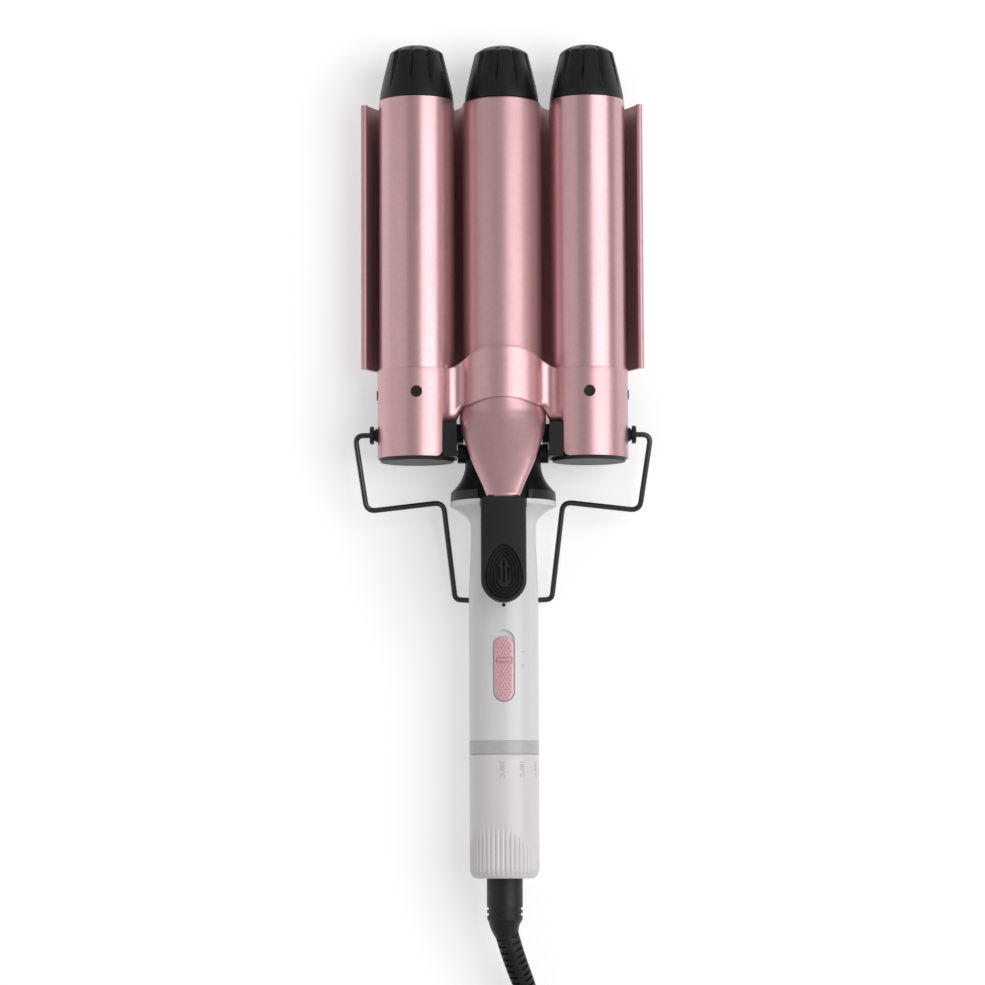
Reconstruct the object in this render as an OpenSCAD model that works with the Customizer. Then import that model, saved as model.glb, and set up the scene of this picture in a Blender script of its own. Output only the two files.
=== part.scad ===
// Triple barrel hair waver with a sprung clamp, a wire stand, a slide switch and a heat dial.
// X runs across the jaws, Y runs from the cord to the barrel tips, Z is up, and z = 0 is the table.
// The two outer barrels belong to the clamp. The middle ridge belongs to the fixed wave plate.

/* [Barrels] */
// Diameter of each outer barrel
barrel_d = 32; // [28:0.5:34]
// Length of a barrel from its housing to its tip cap
barrel_len = 115; // [90:1:140]
// Distance from the middle ridge to each outer barrel
barrel_pitch = 36.2; // [35.6:0.1:38]
// Wall of the barrel tubes
barrel_wall = 1.2; // [1:0.1:1.6]

/* [Tip caps] */
// Length of the tip caps
cap_len = 24.4; // [18:0.1:28]
// Diameter of a cap at its tip
cap_tip_d = 23; // [20:0.5:25]
// Number of tapering grooves round a cap
cap_grooves = 10; // [6:1:12]

/* [Wave plate] */
// Radius of the troughs that the outer barrels close into
trough_r = 19.6; // [19.3:0.1:20]
// How far the trough centres lie below the barrel centres
trough_drop = 1.5; // [1:0.1:2]
// Thickness of the plate
plate_t = 1.6; // [1.2:0.1:2]
// Straight part of each wing above its trough
wing_run = 9; // [6:0.5:10]
// Angle below the horizontal where a trough turns into its wing
wing_angle = 25; // [20:1:30]
// Diameter of the rolled bead along a wing
bead_d = 2.8; // [2.4:0.1:3.2]
// How far the plate ends short of the tip caps
plate_setback = 0.8; // [0.5:0.1:2]

/* [Clamp] */
// Diameter of the two housings behind the barrels
housing_d = 33.3; // [33:0.1:34]
// Length of the housings
housing_len = 37.2; // [34:0.2:42]
// Wall of the housings
housing_wall = 2; // [1.6:0.1:2.2]
// Wall of the arch over the middle ridge
arch_wall = 2.2; // [1.8:0.1:2.6]
// Gap between the arch and the middle ridge
arch_gap = 0.8; // [0.6:0.1:1]
// How far the arch reaches forward of the housings
arch_bulge = 8.7; // [6:0.1:10]
// Length of the arch along its top
arch_len = 21.4; // [18:0.2:24]
// Thickness of the dark end discs
end_disc_t = 1.5; // [1:0.1:2]
// How far the clamp opens, in degrees
clamp_open = 12; // [8:1:12]

/* [Thumb lever] */
// Length of the thumb lever
lever_len = 44.2; // [38:0.2:48]
// Width of the thumb lever
lever_w = 18.8; // [16:0.2:22]
// Thickness of the thumb lever
lever_t = 3.2; // [2.8:0.1:3.8]
// Slope of the thumb lever
lever_slope = 8.4; // [7:0.1:10]

/* [Hinge] */
// Diameter of the hinge pin
pin_d = 3; // [2.5:0.1:3.5]
// Distance of the hinge pin in front of the housings' rear faces
hinge_inset = 2; // [1.5:0.1:4]
// Diameter of the neck between the housings
neck_d = 31.8; // [30:0.2:32]
// Length of the neck behind the housings
neck_len = 18.3; // [17:0.1:21]

/* [Handle] */
// Diameter of the handle
handle_d = 29.2; // [28:0.2:31]
// Length of the handle shells
handle_len = 100.5; // [92:0.5:112]
// Diameter of the flared guard in front of the handle
guard_d = 44.4; // [42:0.2:45]
// Wall of the handle
handle_wall = 2; // [1.6:0.1:2.4]
// Length of the grey ring
ring_len = 5.5; // [4:0.1:8]

/* [Switch] */
// Width of the slide button
slider_w = 8.4; // [7:0.1:9]
// Length of the slide button
slider_len = 26.9; // [22:0.1:30]
// Travel of the slide button
slider_travel = 2.5; // [1.5:0.1:3]
// Distance from the front of the handle to the slide button
slider_from_front = 57.3; // [53:0.1:63]

/* [Dial] */
// Length of the heat dial
dial_len = 51.5; // [46:0.5:60]
// Number of flutes round the dial
dial_flutes = 44; // [30:1:50]
// Length of the fluted part
flute_len = 19; // [12:0.5:24]

/* [Stand] */
// Diameter of the stand wire
wire_d = 2.3; // [2:0.1:2.6]
// Distance of the stand pivots in front of the housings' rear faces
stand_inset = 10; // [8:0.1:14]
// How far the stand stands out past the housings at each side
stand_overhang = 9.55; // [8.6:0.05:13]
// Gap between the folded stand and the handle
stand_gap = 0.3; // [0.2:0.05:0.6]

/* [Cord] */
// Diameter of the cord
cord_d = 6; // [5.5:0.1:6.5]
// Diameter of the swivel block
swivel_d = 15; // [14:0.2:16]
// Length of the swivel block behind the dial
swivel_len = 17.5; // [15:0.5:20]
// Gap between neighbouring turns of the stored cord
turn_gap = 0.6; // [0.5:0.05:0.8]

/* [Clearances] */
// Radial clearance of a shaft that turns in its bore
run_fit = 0.06; // [0.03:0.01:0.09]
// Radial clearance of a piece that is pushed or screwed into place
seat_fit = 0.05; // [0.03:0.01:0.1]
// Gap between a moving piece and what it moves past
move_gap = 0.3; // [0.2:0.05:0.5]

/* [Hidden] */
$fn = 64;
eps = 0.01;

barrel_r = barrel_d / 2;
barrel_bore_r = barrel_r - barrel_wall;
housing_r = housing_d / 2;
housing_bore_r = housing_r - housing_wall;
handle_r = handle_d / 2;
handle_bore_r = handle_r - handle_wall;
guard_r = guard_d / 2;
neck_r = neck_d / 2;
pin_r = pin_d / 2;
wire_r = wire_d / 2;

// Height of the barrel and handle axis over the table
axis_z = trough_drop + trough_r + plate_t;
ridge_z = axis_z - trough_drop;
ridge_r = barrel_pitch - trough_r;
arch_in_r = ridge_r + arch_gap;
arch_r = arch_in_r + arch_wall;

// Stations along the object, from the tips back to the cord
total_len = cap_len + barrel_len + housing_len + neck_len + handle_len + ring_len + dial_len;
// Distance from the origin back to the dial's rear face
rear_reach = 175.35;
tip_y = total_len - rear_reach;
barrel_tip_y = tip_y - cap_len;
parting_y = barrel_tip_y - barrel_len;
housing_rear_y = parting_y - housing_len;
hinge_y = housing_rear_y + hinge_inset;
guard_y = housing_rear_y - neck_len;
handle_rear_y = guard_y - handle_len;
dial_front_y = handle_rear_y - ring_len;
dial_rear_y = dial_front_y - dial_len;
plate_front_y = barrel_tip_y - plate_setback;
plate_rear_y = parting_y + 1.2;
mount_rear_y = housing_rear_y + 8;
screw_y = parting_y - 10.3;
stand_y = housing_rear_y + stand_inset;
stand_half_w = barrel_pitch + housing_r + stand_overhang;
screw_sink = 0.55;
screw_head_h = 0.7;
screw_head_r = 2.3;
counterbore = screw_sink + screw_head_h + 0.05;

// Arch and funnel of the clamp cover
arch_front_y = parting_y + arch_bulge;
arch_top_rear_y = arch_front_y - arch_len;
arch_side_rear_y = arch_top_rear_y - 9.5;
inner_wall_x = barrel_pitch - housing_r - 0.15;
inner_wall_t = 2.5;
cover_cut_x = inner_wall_x + 6;
block_top_z = axis_z + 12.4;
funnel_wall = 2.2;
lever_front_y = housing_rear_y - 17.9;
lever_rear_y = lever_front_y - lever_len;
lever_top_z = axis_z + 27.3;
channel_z = axis_z + 16.2;

// Neck, tail tube and dial
spine_r = ridge_r - plate_t - 0.1;
spine_wall = 1.5;
spine_rear_y = housing_rear_y + 13;
lug_r = 4;
lug_x = inner_wall_x - move_gap;
lead_r = 1.6;
lead_drop = 9;
tail_r = 11;
tail_bore_r = 9;
tail_rear_y = dial_rear_y + 7.3;
dial_wall = 2.4;
land_len = 7;
swivel_r = swivel_d / 2;
flange_len = 6;
stand_bush_len = 3.3;
bush_bore_r = wire_r + run_fit;

// Electrics
board_top_z = axis_z + 2.6;
board_t = 1.6;
board_front_y = guard_y - 29.5;
board_rear_y = handle_rear_y + 11;
slider_front_y = guard_y - slider_from_front + slider_travel;
slider_mid_y = slider_front_y - slider_travel - slider_len / 2;

// Route of the cord from its relief to the coil, in round numbers: x, y and height
relief_route = [
  [0.4, -197, 22.6], [1.5, -201, 22.1], [2.7, -205, 21.2], [4, -209, 19.9], [5.4, -213, 18.3],
  [6.9, -217, 16.5], [8.5, -221, 14.7], [10.2, -225, 12.9], [11.8, -229, 11.2]
];
cord_route = [
  [11.8, -229, 11.2], [12.6, -231, 10.35], [13.2, -233, 9.55], [13.7, -235.5, 8.7],
  [14.2, -238, 7.9], [14.7, -241, 7], [15.1, -244, 6.2], [15.4, -247, 5.5],
  [15.7, -250, 4.9], [15.8, -253, 4.4], [15.9, -257, 4], [16, -261, 3.9],
  [16, -265, 3.8], [16, -269, 3.8], [16, -273.5, 3.8], [16, -278, 3.8]
];
// Steps of the tail from the coil to the plug, in x and y
tail_steps = [[0, 0], [-5.5, 5.5], [-11.5, 10.6], [-18, 15], [-25, 18.7]];
tie_t = 0.8;
tie_w = 8;
coil_centre = [-32, -284];
coil_r = 48;
coil_turns = 3.5;
out_turns = 3.375;
coil_pitch = cord_d + turn_gap;
coil_rings = 24;

// ---------- helpers ----------

// A cylinder along Y between two stations
module along_y(r, y0, y1, x = 0, z = axis_z) {
  translate([x, y1, z]) rotate([90, 0, 0]) cylinder(r = r, h = y1 - y0);
}

// A cylinder along X between two places
module along_x(r, x0, x1, y, z) {
  translate([x0, y, z]) rotate([0, 90, 0]) cylinder(r = r, h = x1 - x0);
}

// An outline in X and Z, drawn out along Y between two stations
module slab_y(y0, y1) {
  translate([0, y1, 0]) rotate([90, 0, 0]) linear_extrude(height = y1 - y0) children();
}

// An outline of radius against Y, turned about the handle axis
module turned(x = 0, z = axis_z) {
  translate([x, 0, z]) rotate([-90, 0, 0]) rotate_extrude() children();
}

// The right-hand piece as drawn, and the left-hand one as its mirror image
module left_hand() { mirror([1, 0, 0]) children(); }
module both_hands() { children(); mirror([1, 0, 0]) children(); }

function unit(v) = v / norm(v);
function steps(pts) = len(pts) - 1;
function heading(pts, i) =
  unit(pts[min(i + 1, steps(pts))] - pts[max(i - 1, 0)]);
function side_of(dir, ref) = unit(cross(dir, ref));
function ring_of(pts, i, r, sides, ref) =
  let (dir = heading(pts, i), side = side_of(dir, ref), up = cross(side, dir))
  [for (k = [0:sides - 1]) pts[i] + r * (cos(360 * k / sides) * side + sin(360 * k / sides) * up)];

// A round tube along a list of points; radii holds one radius for each point
module swept(pts, radii, sides, ref = [0, 0, 1]) {
  last = steps(pts);
  rings = [for (i = [0:last]) each ring_of(pts, i, radii[i], sides, ref)];
  walls = [
    for (i = [0:last - 1]) for (k = [0:sides - 1])
    let (a = i * sides + k, b = i * sides + (k + 1) % sides)
    each [[a, a + sides, b], [b, a + sides, b + sides]]
  ];
  first_cap = [for (k = [1:sides - 2]) [0, k, k + 1]];
  last_cap = [for (k = [1:sides - 2]) [last * sides, last * sides + k + 1, last * sides + k]];
  polyhedron(points = rings, faces = concat(walls, first_cap, last_cap), convexity = 10);
}
function same(pts, r) = [for (p = pts) r];

// Corners of a route taken as curves of the given reach, or of a list with one reach for each point
function blend(a, b, c, t) = (1 - t) * (1 - t) * a + 2 * t * (1 - t) * b + t * t * c;
function rounded(pts, reach, n) = concat(
  [pts[0]],
  [
    for (i = [1:steps(pts) - 1])
    let (
      far = is_list(reach) ? reach[i] : reach,
      a = pts[i] + far * unit(pts[i - 1] - pts[i]), c = pts[i] + far * unit(pts[i + 1] - pts[i])
    )
    each [for (k = [0:n]) blend(a, pts[i], c, k / n)]
  ],
  [pts[steps(pts)]]
);

// ---------- fixed jaw ----------

module ring_2d(r_out, r_in) {
  difference() {
    circle(r = r_out);
    circle(r = r_in);
  }
}

// One wing: trough, straight run and bead, for the right-hand side
module wing_2d() {
  far = 2 * trough_r;
  translate([barrel_pitch, ridge_z]) {
    intersection() {
      ring_2d(trough_r + plate_t, trough_r);
      polygon([
        [-far, 0], [-far, -far], [far, -far], [far, -far * tan(wing_angle)], [0, 0]
      ]);
    }
    rotate(-wing_angle) {
      // A hair thinner than the trough, so that their faces aren't tangent
      translate([trough_r + 0.05, -0.5]) square([plate_t - 0.1, wing_run + 0.5]);
      translate([trough_r + plate_t / 2, wing_run]) circle(d = bead_d);
    }
  }
}

module wave_plate_2d() {
  intersection() {
    translate([0, ridge_z]) ring_2d(ridge_r, ridge_r - plate_t);
    translate([-ridge_r - 1, ridge_z]) square([2 * ridge_r + 2, ridge_r + 1]);
  }
  wing_2d();
  mirror([1, 0]) wing_2d();
}

module wave_plate() {
  color("rosybrown") slab_y(plate_rear_y, plate_front_y) wave_plate_2d();
}

module spine_tube() {
  color("silver") difference() {
    along_y(spine_r, spine_rear_y, barrel_tip_y, 0, ridge_z);
    along_y(spine_r - spine_wall, spine_rear_y - 1, barrel_tip_y + 1, 0, ridge_z);
  }
}

// Outline of a cap: straight skirt, tapering side, rounded tip
cap_base_r = barrel_r - 0.3;
cap_tip_r = cap_tip_d / 2;
groove_tilt = atan2(cap_base_r - cap_tip_r, cap_len - 6);
dome_r = 23;
function dome_drop(r) = dome_r - sqrt(dome_r * dome_r - r * r);
module cap_2d() {
  polygon(concat(
    [
      [0, 0], [cap_base_r, 0], [cap_base_r - 0.2, 2.5], [cap_tip_r, cap_len - dome_drop(cap_tip_r) - 1.2],
      [cap_tip_r - 0.2, cap_len - dome_drop(cap_tip_r) - 0.5]
    ],
    [for (k = [0:8]) let (r = (cap_tip_r - 0.6) * (1 - k / 8)) [r, cap_len - dome_drop(r)]]
  ));
}

module tip_cap(x, z, plug_r) {
  color("dimgray") {
    difference() {
      translate([x, barrel_tip_y, z]) rotate([-90, 0, 0]) {
        rotate_extrude() cap_2d();
      }
      for (k = [0:cap_grooves - 1]) {
        translate([x, barrel_tip_y, z]) rotate([0, k * 360 / cap_grooves - 9, 0])
          translate([0, 4, cap_base_r]) rotate([-90 + groove_tilt, 0, 0])
          cylinder(r1 = 0.3, r2 = 1.5, h = cap_len);
      }
    }
    along_y(plug_r - seat_fit, barrel_tip_y - 6, barrel_tip_y + eps, x, z);
  }
}

module middle_tip_cap() { tip_cap(0, ridge_z, spine_r - spine_wall); }
module right_tip_cap() { tip_cap(barrel_pitch, axis_z, barrel_bore_r); }
module left_tip_cap() { tip_cap(-barrel_pitch, axis_z, barrel_bore_r); }

// A heater: a flat element between two rounded spreader bars that bear on the tube
module heater(x, z, bore_r, rear_y) {
  color("lightsteelblue") intersection() {
    along_y(bore_r - move_gap, rear_y, barrel_tip_y - 12, x, z);
    union() {
      translate([x - 7, rear_y, z - bore_r]) cube([14, barrel_tip_y - rear_y, bore_r - 2.5]);
      translate([x - 7, rear_y, z + 2.5]) cube([14, barrel_tip_y - rear_y, bore_r - 2.5]);
      translate([x - 9, rear_y, z - 2.5 - eps]) cube([18, barrel_tip_y - rear_y, 5 + 2 * eps]);
    }
  }
}
module middle_heater() { heater(0, ridge_z, spine_r - spine_wall, parting_y + 6); }
module right_heater() { heater(barrel_pitch, axis_z, barrel_bore_r, parting_y + 16); }
module left_heater() { heater(-barrel_pitch, axis_z, barrel_bore_r, parting_y + 16); }

// ---------- neck and hinge ----------

neck_curve_start = housing_rear_y - 1.4;
neck_curve_len = 13.1;
function neck_radius(t) = neck_r + (guard_r - 0.2 - neck_r) * pow(t, 2.3);
module neck_outline_2d() {
  polygon(concat(
    [[0, housing_rear_y + 8], [neck_r - 1, housing_rear_y + 8], [neck_r, housing_rear_y + 7]],
    [
      for (k = [0:10])
      [neck_radius(k / 10), neck_curve_start - neck_curve_len * k / 10]
    ],
    [[guard_r, guard_y + 1], [guard_r, guard_y], [0, guard_y]]
  ));
}

// Channel through the guard that gives the thumb lever room to come down
module lever_channel(side_gap) {
  half = lever_w / 2 + side_gap;
  translate([-half, guard_y - 30, channel_z]) cube([2 * half, 45, 30]);
}

module neck() {
  color("dimgray") difference() {
    union() {
      turned() neck_outline_2d();
      along_y(spine_r - spine_wall - seat_fit, housing_rear_y + 7, spine_rear_y + 10, 0, ridge_z);
      along_x(lug_r, -lug_x, lug_x, hinge_y, axis_z);
      // Tongue that the handle shells close over
      along_y(handle_bore_r - 1 - seat_fit, guard_y - 8, guard_y + eps);
    }
    // Lever channel, hinge bore, spring pocket and wire way
    lever_channel(1.2);
    along_x(pin_r + seat_fit, -30, 30, hinge_y, axis_z);
    translate([-6.5, hinge_y - 6.5, axis_z - 6.5]) cube([13, 13, 40]);
    along_y(lead_r + 0.8, guard_y - 20, spine_rear_y + 30, 0, axis_z - lead_drop);
  }
}

module hinge_pin() {
  end_x = inner_wall_x + inner_wall_t - 0.6;
  color("silver") along_x(pin_r, -end_x, end_x, hinge_y, axis_z);
}

spring_wire_r = 0.6;
spring_r = pin_r + spring_wire_r + 0.5;
spring_turns = 5;
spring_pitch = 1.7;
module clamp_spring() {
  last_a = 360 * spring_turns;
  x0 = -spring_turns * spring_pitch / 2;
  coils = [
    for (k = [0:12 * spring_turns]) let (a = k * 30)
    [x0 + spring_pitch * a / 360, hinge_y + spring_r * sin(a), axis_z + spring_r * cos(a)]
  ];
  lead_in = [[x0, hinge_y - 5.5, axis_z + spring_r]];
  lead_out = [[-x0, hinge_y + 5.5, axis_z + spring_r]];
  path = concat(lead_in, coils, lead_out);
  color("gray") swept(path, same(path, spring_wire_r), 6, [1, 0, 0]);
}

// ---------- handle ----------

waist_y = guard_y - 10.7;
swell_y = guard_y - 45;
flange_t = 2.4;
waist_drop = 0.9;
function flare_radius(t) = handle_r - waist_drop + (guard_r - handle_r + waist_drop) * pow(1 - t, 2.1);
module handle_outline_2d() {
  polygon(concat(
    [[0, guard_y], [guard_r, guard_y], [guard_r + 0.1, guard_y - flange_t + 0.8], [guard_r - 0.6, guard_y - flange_t]],
    [for (k = [1:12]) [flare_radius(k / 12), guard_y - flange_t + (waist_y - guard_y + flange_t) * k / 12]],
    [
      for (k = [1:6])
      [handle_r - waist_drop * (1 + cos(180 * k / 6)) / 2, waist_y + (swell_y - waist_y) * k / 6]
    ],
    [[handle_r, handle_rear_y], [0, handle_rear_y]]
  ));
}

module handle_hollow() {
  along_y(handle_bore_r - 1, guard_y - 40, guard_y + 1);
  along_y(handle_bore_r, handle_rear_y - 1, guard_y - 38);
}

post_y = guard_y - 26;
module handle_post(y, low, high) {
  translate([0, y, low]) cylinder(r = 3.4, h = high - low);
}

module slider_outline(grow) {
  half = slider_len / 2 - slider_w / 2;
  hull() {
    for (side = [-1, 1]) translate([0, side * half]) circle(r = slider_w / 2 + grow);
  }
}

// A stadium made of a bar and two round ends, so that its walls stay true
module stadium(len, wide, low, high, mid_y) {
  translate([0, mid_y, low]) linear_extrude(height = high - low) {
    square([wide, len - wide], center = true);
    translate([0, (len - wide) / 2]) circle(d = wide);
    translate([0, -(len - wide) / 2]) circle(d = wide);
  }
}

light_y = guard_y - 44.2;
light_r = 0.7;
module handle_upper_shell() {
  color("white") difference() {
    union() {
      difference() {
        turned() handle_outline_2d();
        handle_hollow();
        translate([-50, -300, -100]) cube([100, 600, axis_z + 100]);
      }
      intersection() {
        handle_post(post_y, axis_z, axis_z + handle_r - 1);
        along_y(handle_r - 1.2, handle_rear_y, guard_y);
      }
    }
    // Lever channel, screw pilot, switch slot and lamp hole
    lever_channel(0.4);
    translate([0, post_y, axis_z - 1]) cylinder(r = 1.25, h = 9);
    stadium(slider_len + slider_travel + 2 * move_gap, slider_w + 2 * move_gap,
      axis_z + 8, axis_z + 20, slider_mid_y + slider_travel / 2);
    translate([0, light_y, axis_z]) cylinder(r = light_r + seat_fit, h = 20);
  }
}

module handle_lower_shell() {
  color("white") difference() {
    union() {
      difference() {
        turned() handle_outline_2d();
        handle_hollow();
        translate([-50, -300, axis_z]) cube([100, 600, 100]);
      }
      intersection() {
        union() {
          handle_post(post_y, axis_z - handle_r + 1, axis_z);
          for (y = [board_front_y - 8, board_rear_y + 4])
            translate([1.6 - handle_bore_r, y - 0.8, axis_z - handle_r])
            cube([2 * handle_bore_r - 3.2, 1.6, handle_r + board_top_z - axis_z - board_t]);
        }
        along_y(handle_bore_r + 0.5, handle_rear_y, guard_y);
      }
    }
    translate([0, post_y, axis_z - handle_r - 1]) cylinder(r = 2.6, h = 6);
    translate([0, post_y, axis_z - handle_r - 1]) cylinder(r = 1.5, h = 30);
    // Room for the leads past the board ribs
    along_y(4, handle_rear_y - 1, board_front_y, 0, axis_z - 6);
  }
}

// A pan head screw that points along +Z, with a cross recess in its head
module screw(head_r, head_h, shank_r, length) {
  difference() {
    cylinder(r = head_r, h = head_h);
    for (turn = [0, 90]) rotate(turn) translate([-head_r * 0.6, -0.35, -eps])
      cube([head_r * 1.2, 0.7, head_h * 0.5]);
  }
  cylinder(r = shank_r, h = length);
}

module handle_screws() {
  color("gray") translate([0, post_y, axis_z - handle_r + 3.2]) screw(2.4, 1.8, 1.2, 17);
}

module light_lens() {
  color("black") translate([0, light_y, board_top_z + 3])
    cylinder(r = light_r, h = axis_z + handle_r + 0.1 - board_top_z - 3);
}

module circuit_board() {
  color("darkgreen") {
    translate([-10.5, board_rear_y, board_top_z - board_t])
      cube([21, board_front_y - board_rear_y, board_t]);
    // Lamp under the lens, heat fuse block and relay
    translate([-2, light_y - 2, board_top_z - eps]) cube([4, 4, 2.9]);
    translate([-6, board_front_y - 10, board_top_z - eps]) cube([12, 8, 5]);
  }
}

switch_top_z = axis_z + 8.2;
module slide_switch() {
  color("black") {
    translate([-5.5, slider_mid_y - 11, board_top_z + 0.05])
      cube([11, 22 + slider_travel, switch_top_z - board_top_z - 0.05]);
  }
}

module power_slider() {
  top_z = axis_z + handle_r + 0.3;
  crossbar_y = slider_mid_y + 3.6;
  color("palevioletred") {
    intersection() {
      stadium(slider_len, slider_w, switch_top_z + move_gap, top_z + 1, slider_mid_y);
      along_y(handle_r + 0.35, handle_rear_y, guard_y);
    }
    translate([0, crossbar_y, axis_z + handle_r])
      cube([slider_w * 0.8, 1.4, 2.2], center = true);
  }
}

module grey_ring() {
  color("silver") difference() {
    along_y(handle_r, dial_front_y, handle_rear_y);
    along_y(tail_r + seat_fit, dial_front_y - 1, handle_rear_y + 1);
  }
}

module tail_tube() {
  color("dimgray") difference() {
    union() {
      along_y(tail_r, tail_rear_y, handle_rear_y + 8);
      along_y(handle_bore_r - seat_fit, handle_rear_y, handle_rear_y + 6);
    }
    along_y(tail_bore_r, tail_rear_y + 2, handle_rear_y + 9);
    along_y(swivel_r + run_fit, tail_rear_y - 1, tail_rear_y + 3);
  }
}

module heat_switch() {
  color("tan") difference() {
    along_y(tail_bore_r - seat_fit, dial_front_y - 4, handle_rear_y + 2);
    along_y(4.5, dial_front_y - 5, handle_rear_y + 3);
  }
}

module supply_leads() {
  lead_z = axis_z - 6;
  route = [
    [0, tail_rear_y + 2 + flange_len + move_gap, axis_z], [0, dial_front_y - 6, axis_z],
    [0, handle_rear_y + 2, axis_z], [0, handle_rear_y + 14, lead_z],
    [0, board_front_y - 26, lead_z], [0, board_front_y - 16, axis_z - 1.3]
  ];
  smooth = rounded(route, 2, 3);
  color("sienna") swept(smooth, same(smooth, 2.2), 8);
}

// Leads from the board, past the screw post and under the hinge pin, to the middle heater
module heater_leads() {
  low = axis_z - lead_drop;
  route = [
    [0, board_front_y - 3, axis_z - 1], [6.2, board_front_y + 2, axis_z - 5],
    [6.2, guard_y - 21, axis_z - 6], [0, guard_y - 8.5, low], [0, spine_rear_y + 11, low],
    [0, parting_y - 1, ridge_z - 3], [0, parting_y + 5.7, ridge_z - 3]
  ];
  smooth = rounded(route, 2, 3);
  color("firebrick") swept(smooth, same(smooth, lead_r), 8);
}

// ---------- clamp ----------

module barrel(x) {
  color("rosybrown") difference() {
    along_y(barrel_r, parting_y + 0.1, barrel_tip_y, x);
    along_y(barrel_bore_r, parting_y - 1, barrel_tip_y + 1, x);
  }
}
module right_barrel() { barrel(barrel_pitch); }
module left_barrel() { barrel(-barrel_pitch); }

module barrel_mount(x) {
  color("dimgray") difference() {
    union() {
      along_y(barrel_bore_r - seat_fit, parting_y + 0.1, parting_y + 14, x);
      along_y(housing_bore_r - 0.2, mount_rear_y, parting_y + 0.2, x);
    }
    along_y(9.5, mount_rear_y - 1, parting_y + 15, x);
    translate([x, screw_y, axis_z - 20]) cylinder(r = 1.2 + seat_fit, h = 40);
  }
}
module right_barrel_mount() { barrel_mount(barrel_pitch); }
module left_barrel_mount() { barrel_mount(-barrel_pitch); }

// Leads from a barrel's heater, through its mount, to the wall beside the hinge
module barrel_leads() {
  route = [
    [barrel_pitch, parting_y + 15.7, axis_z], [barrel_pitch, mount_rear_y + 4, axis_z],
    [barrel_pitch - 8, housing_rear_y + 5.2, axis_z - 4]
  ];
  smooth = rounded(route, 3, 4);
  color("firebrick") swept(smooth, same(smooth, lead_r), 8);
}
module right_barrel_leads() { barrel_leads(); }
module left_barrel_leads() { left_hand() barrel_leads(); }

// Cross section of the cover: two half housings and the arch, with filled valleys between them
module cover_2d() {
  difference() {
    union() {
      for (side = [-1, 1]) translate([side * barrel_pitch, axis_z]) circle(r = housing_r);
      translate([0, ridge_z]) circle(r = arch_r);
      for (side = [-1, 1]) translate([side * (barrel_pitch - housing_r), 0]) polygon([
        [side * -7.55, axis_z], [side * -7.55, ridge_z + 15.2], [side * -3.95, ridge_z + 12.4],
        [side * -1.65, ridge_z + 10.6], [side * 0.75, ridge_z + 10], [side * 3.25, axis_z + 10],
        [side * 6.45, axis_z + 13], [side * 8.45, axis_z]
      ]);
    }
    for (side = [-1, 1]) translate([side * barrel_pitch, axis_z]) circle(r = housing_bore_r);
    translate([0, ridge_z]) circle(r = arch_in_r);
    translate([-60, axis_z - 60]) square([120, 60]);
  }
}

// Plan of the cover: its front edge sweeps forward over the arch, its rear edge sweeps back
s_half = cover_cut_x - 1.8;
function front_edge(x) =
  abs(x) >= s_half ? parting_y : parting_y + arch_bulge * (1 + cos(180 * pow(abs(x) / s_half, 1.6))) / 2;
function rear_edge(x) =
  arch_side_rear_y + (arch_top_rear_y - arch_side_rear_y) * sqrt(1 - pow(x / (inner_wall_x + 0.4), 2));
module cover_plan_2d() {
  polygon(concat(
    [[60, housing_rear_y], [60, parting_y]],
    [for (k = [0:24]) let (x = s_half * (1 - k / 12)) [x, front_edge(x)]],
    [
      [-60, parting_y], [-60, housing_rear_y], [-cover_cut_x, housing_rear_y],
      [-cover_cut_x, arch_side_rear_y - 0.4]
    ],
    [for (k = [0:16]) let (x = -inner_wall_x * (1 - k / 8)) [x, rear_edge(x)]],
    [[cover_cut_x, arch_side_rear_y - 0.4], [cover_cut_x, housing_rear_y]]
  ));
}

// One slice of the funnel: a half ellipse, shrunk by the wall for the inside
module funnel_slice(y, half_w, low_z, top_z, shrink, cut) {
  translate([0, y, low_z - cut]) rotate([90, 0, 0]) linear_extrude(height = 0.1) intersection() {
    resize([2 * (half_w - shrink), 2 * (top_z - low_z - shrink + cut)]) circle(r = 10, $fn = 48);
    translate([-40, 0]) square([80, 80]);
  }
}
funnel = [
  [arch_top_rear_y + 4, arch_r - 1.2, ridge_z, ridge_z + arch_r - 1.5],
  [arch_side_rear_y + 2, arch_r - 0.7, axis_z + 4.4, ridge_z + arch_r - 0.9],
  [housing_rear_y + 4, arch_r - 4.4, axis_z + 14.2, axis_z + 20.8],
  [lever_front_y + 0.15, 6.6, axis_z + 23.6, axis_z + 27]
];
module funnel_solid(shrink, cut) {
  for (k = [0:2]) hull() {
    funnel_slice(funnel[k][0], funnel[k][1], funnel[k][2], funnel[k][3], shrink, cut);
    funnel_slice(funnel[k + 1][0], funnel[k + 1][1], funnel[k + 1][2], funnel[k + 1][3], shrink, cut);
  }
}

module clamp_cover() {
  color("rosybrown") difference() {
    union() {
      intersection() {
        slab_y(housing_rear_y, arch_front_y) cover_2d();
        translate([0, 0, axis_z - 10]) linear_extrude(height = 60) cover_plan_2d();
      }
      difference() {
        funnel_solid(0, 0);
        funnel_solid(funnel_wall, 0.5);
        along_y(arch_in_r, housing_rear_y + 6, arch_front_y, 0, ridge_z);
      }
      lever_tongue(0);
    }
    // Counterbores and clearance holes for the two cover screws, and the stand bushes
    both_hands() {
      translate([barrel_pitch, screw_y, axis_z + housing_bore_r - 5]) cylinder(r = 1.5, h = 20);
      translate([barrel_pitch, screw_y, axis_z + housing_r - counterbore]) cylinder(r = screw_head_r + 0.2, h = 9);
      bush_hole();
      plug_hole();
      along_y(barrel_r + seat_fit, parting_y + eps, arch_front_y + 1, barrel_pitch);
    }
  }
}

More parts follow.
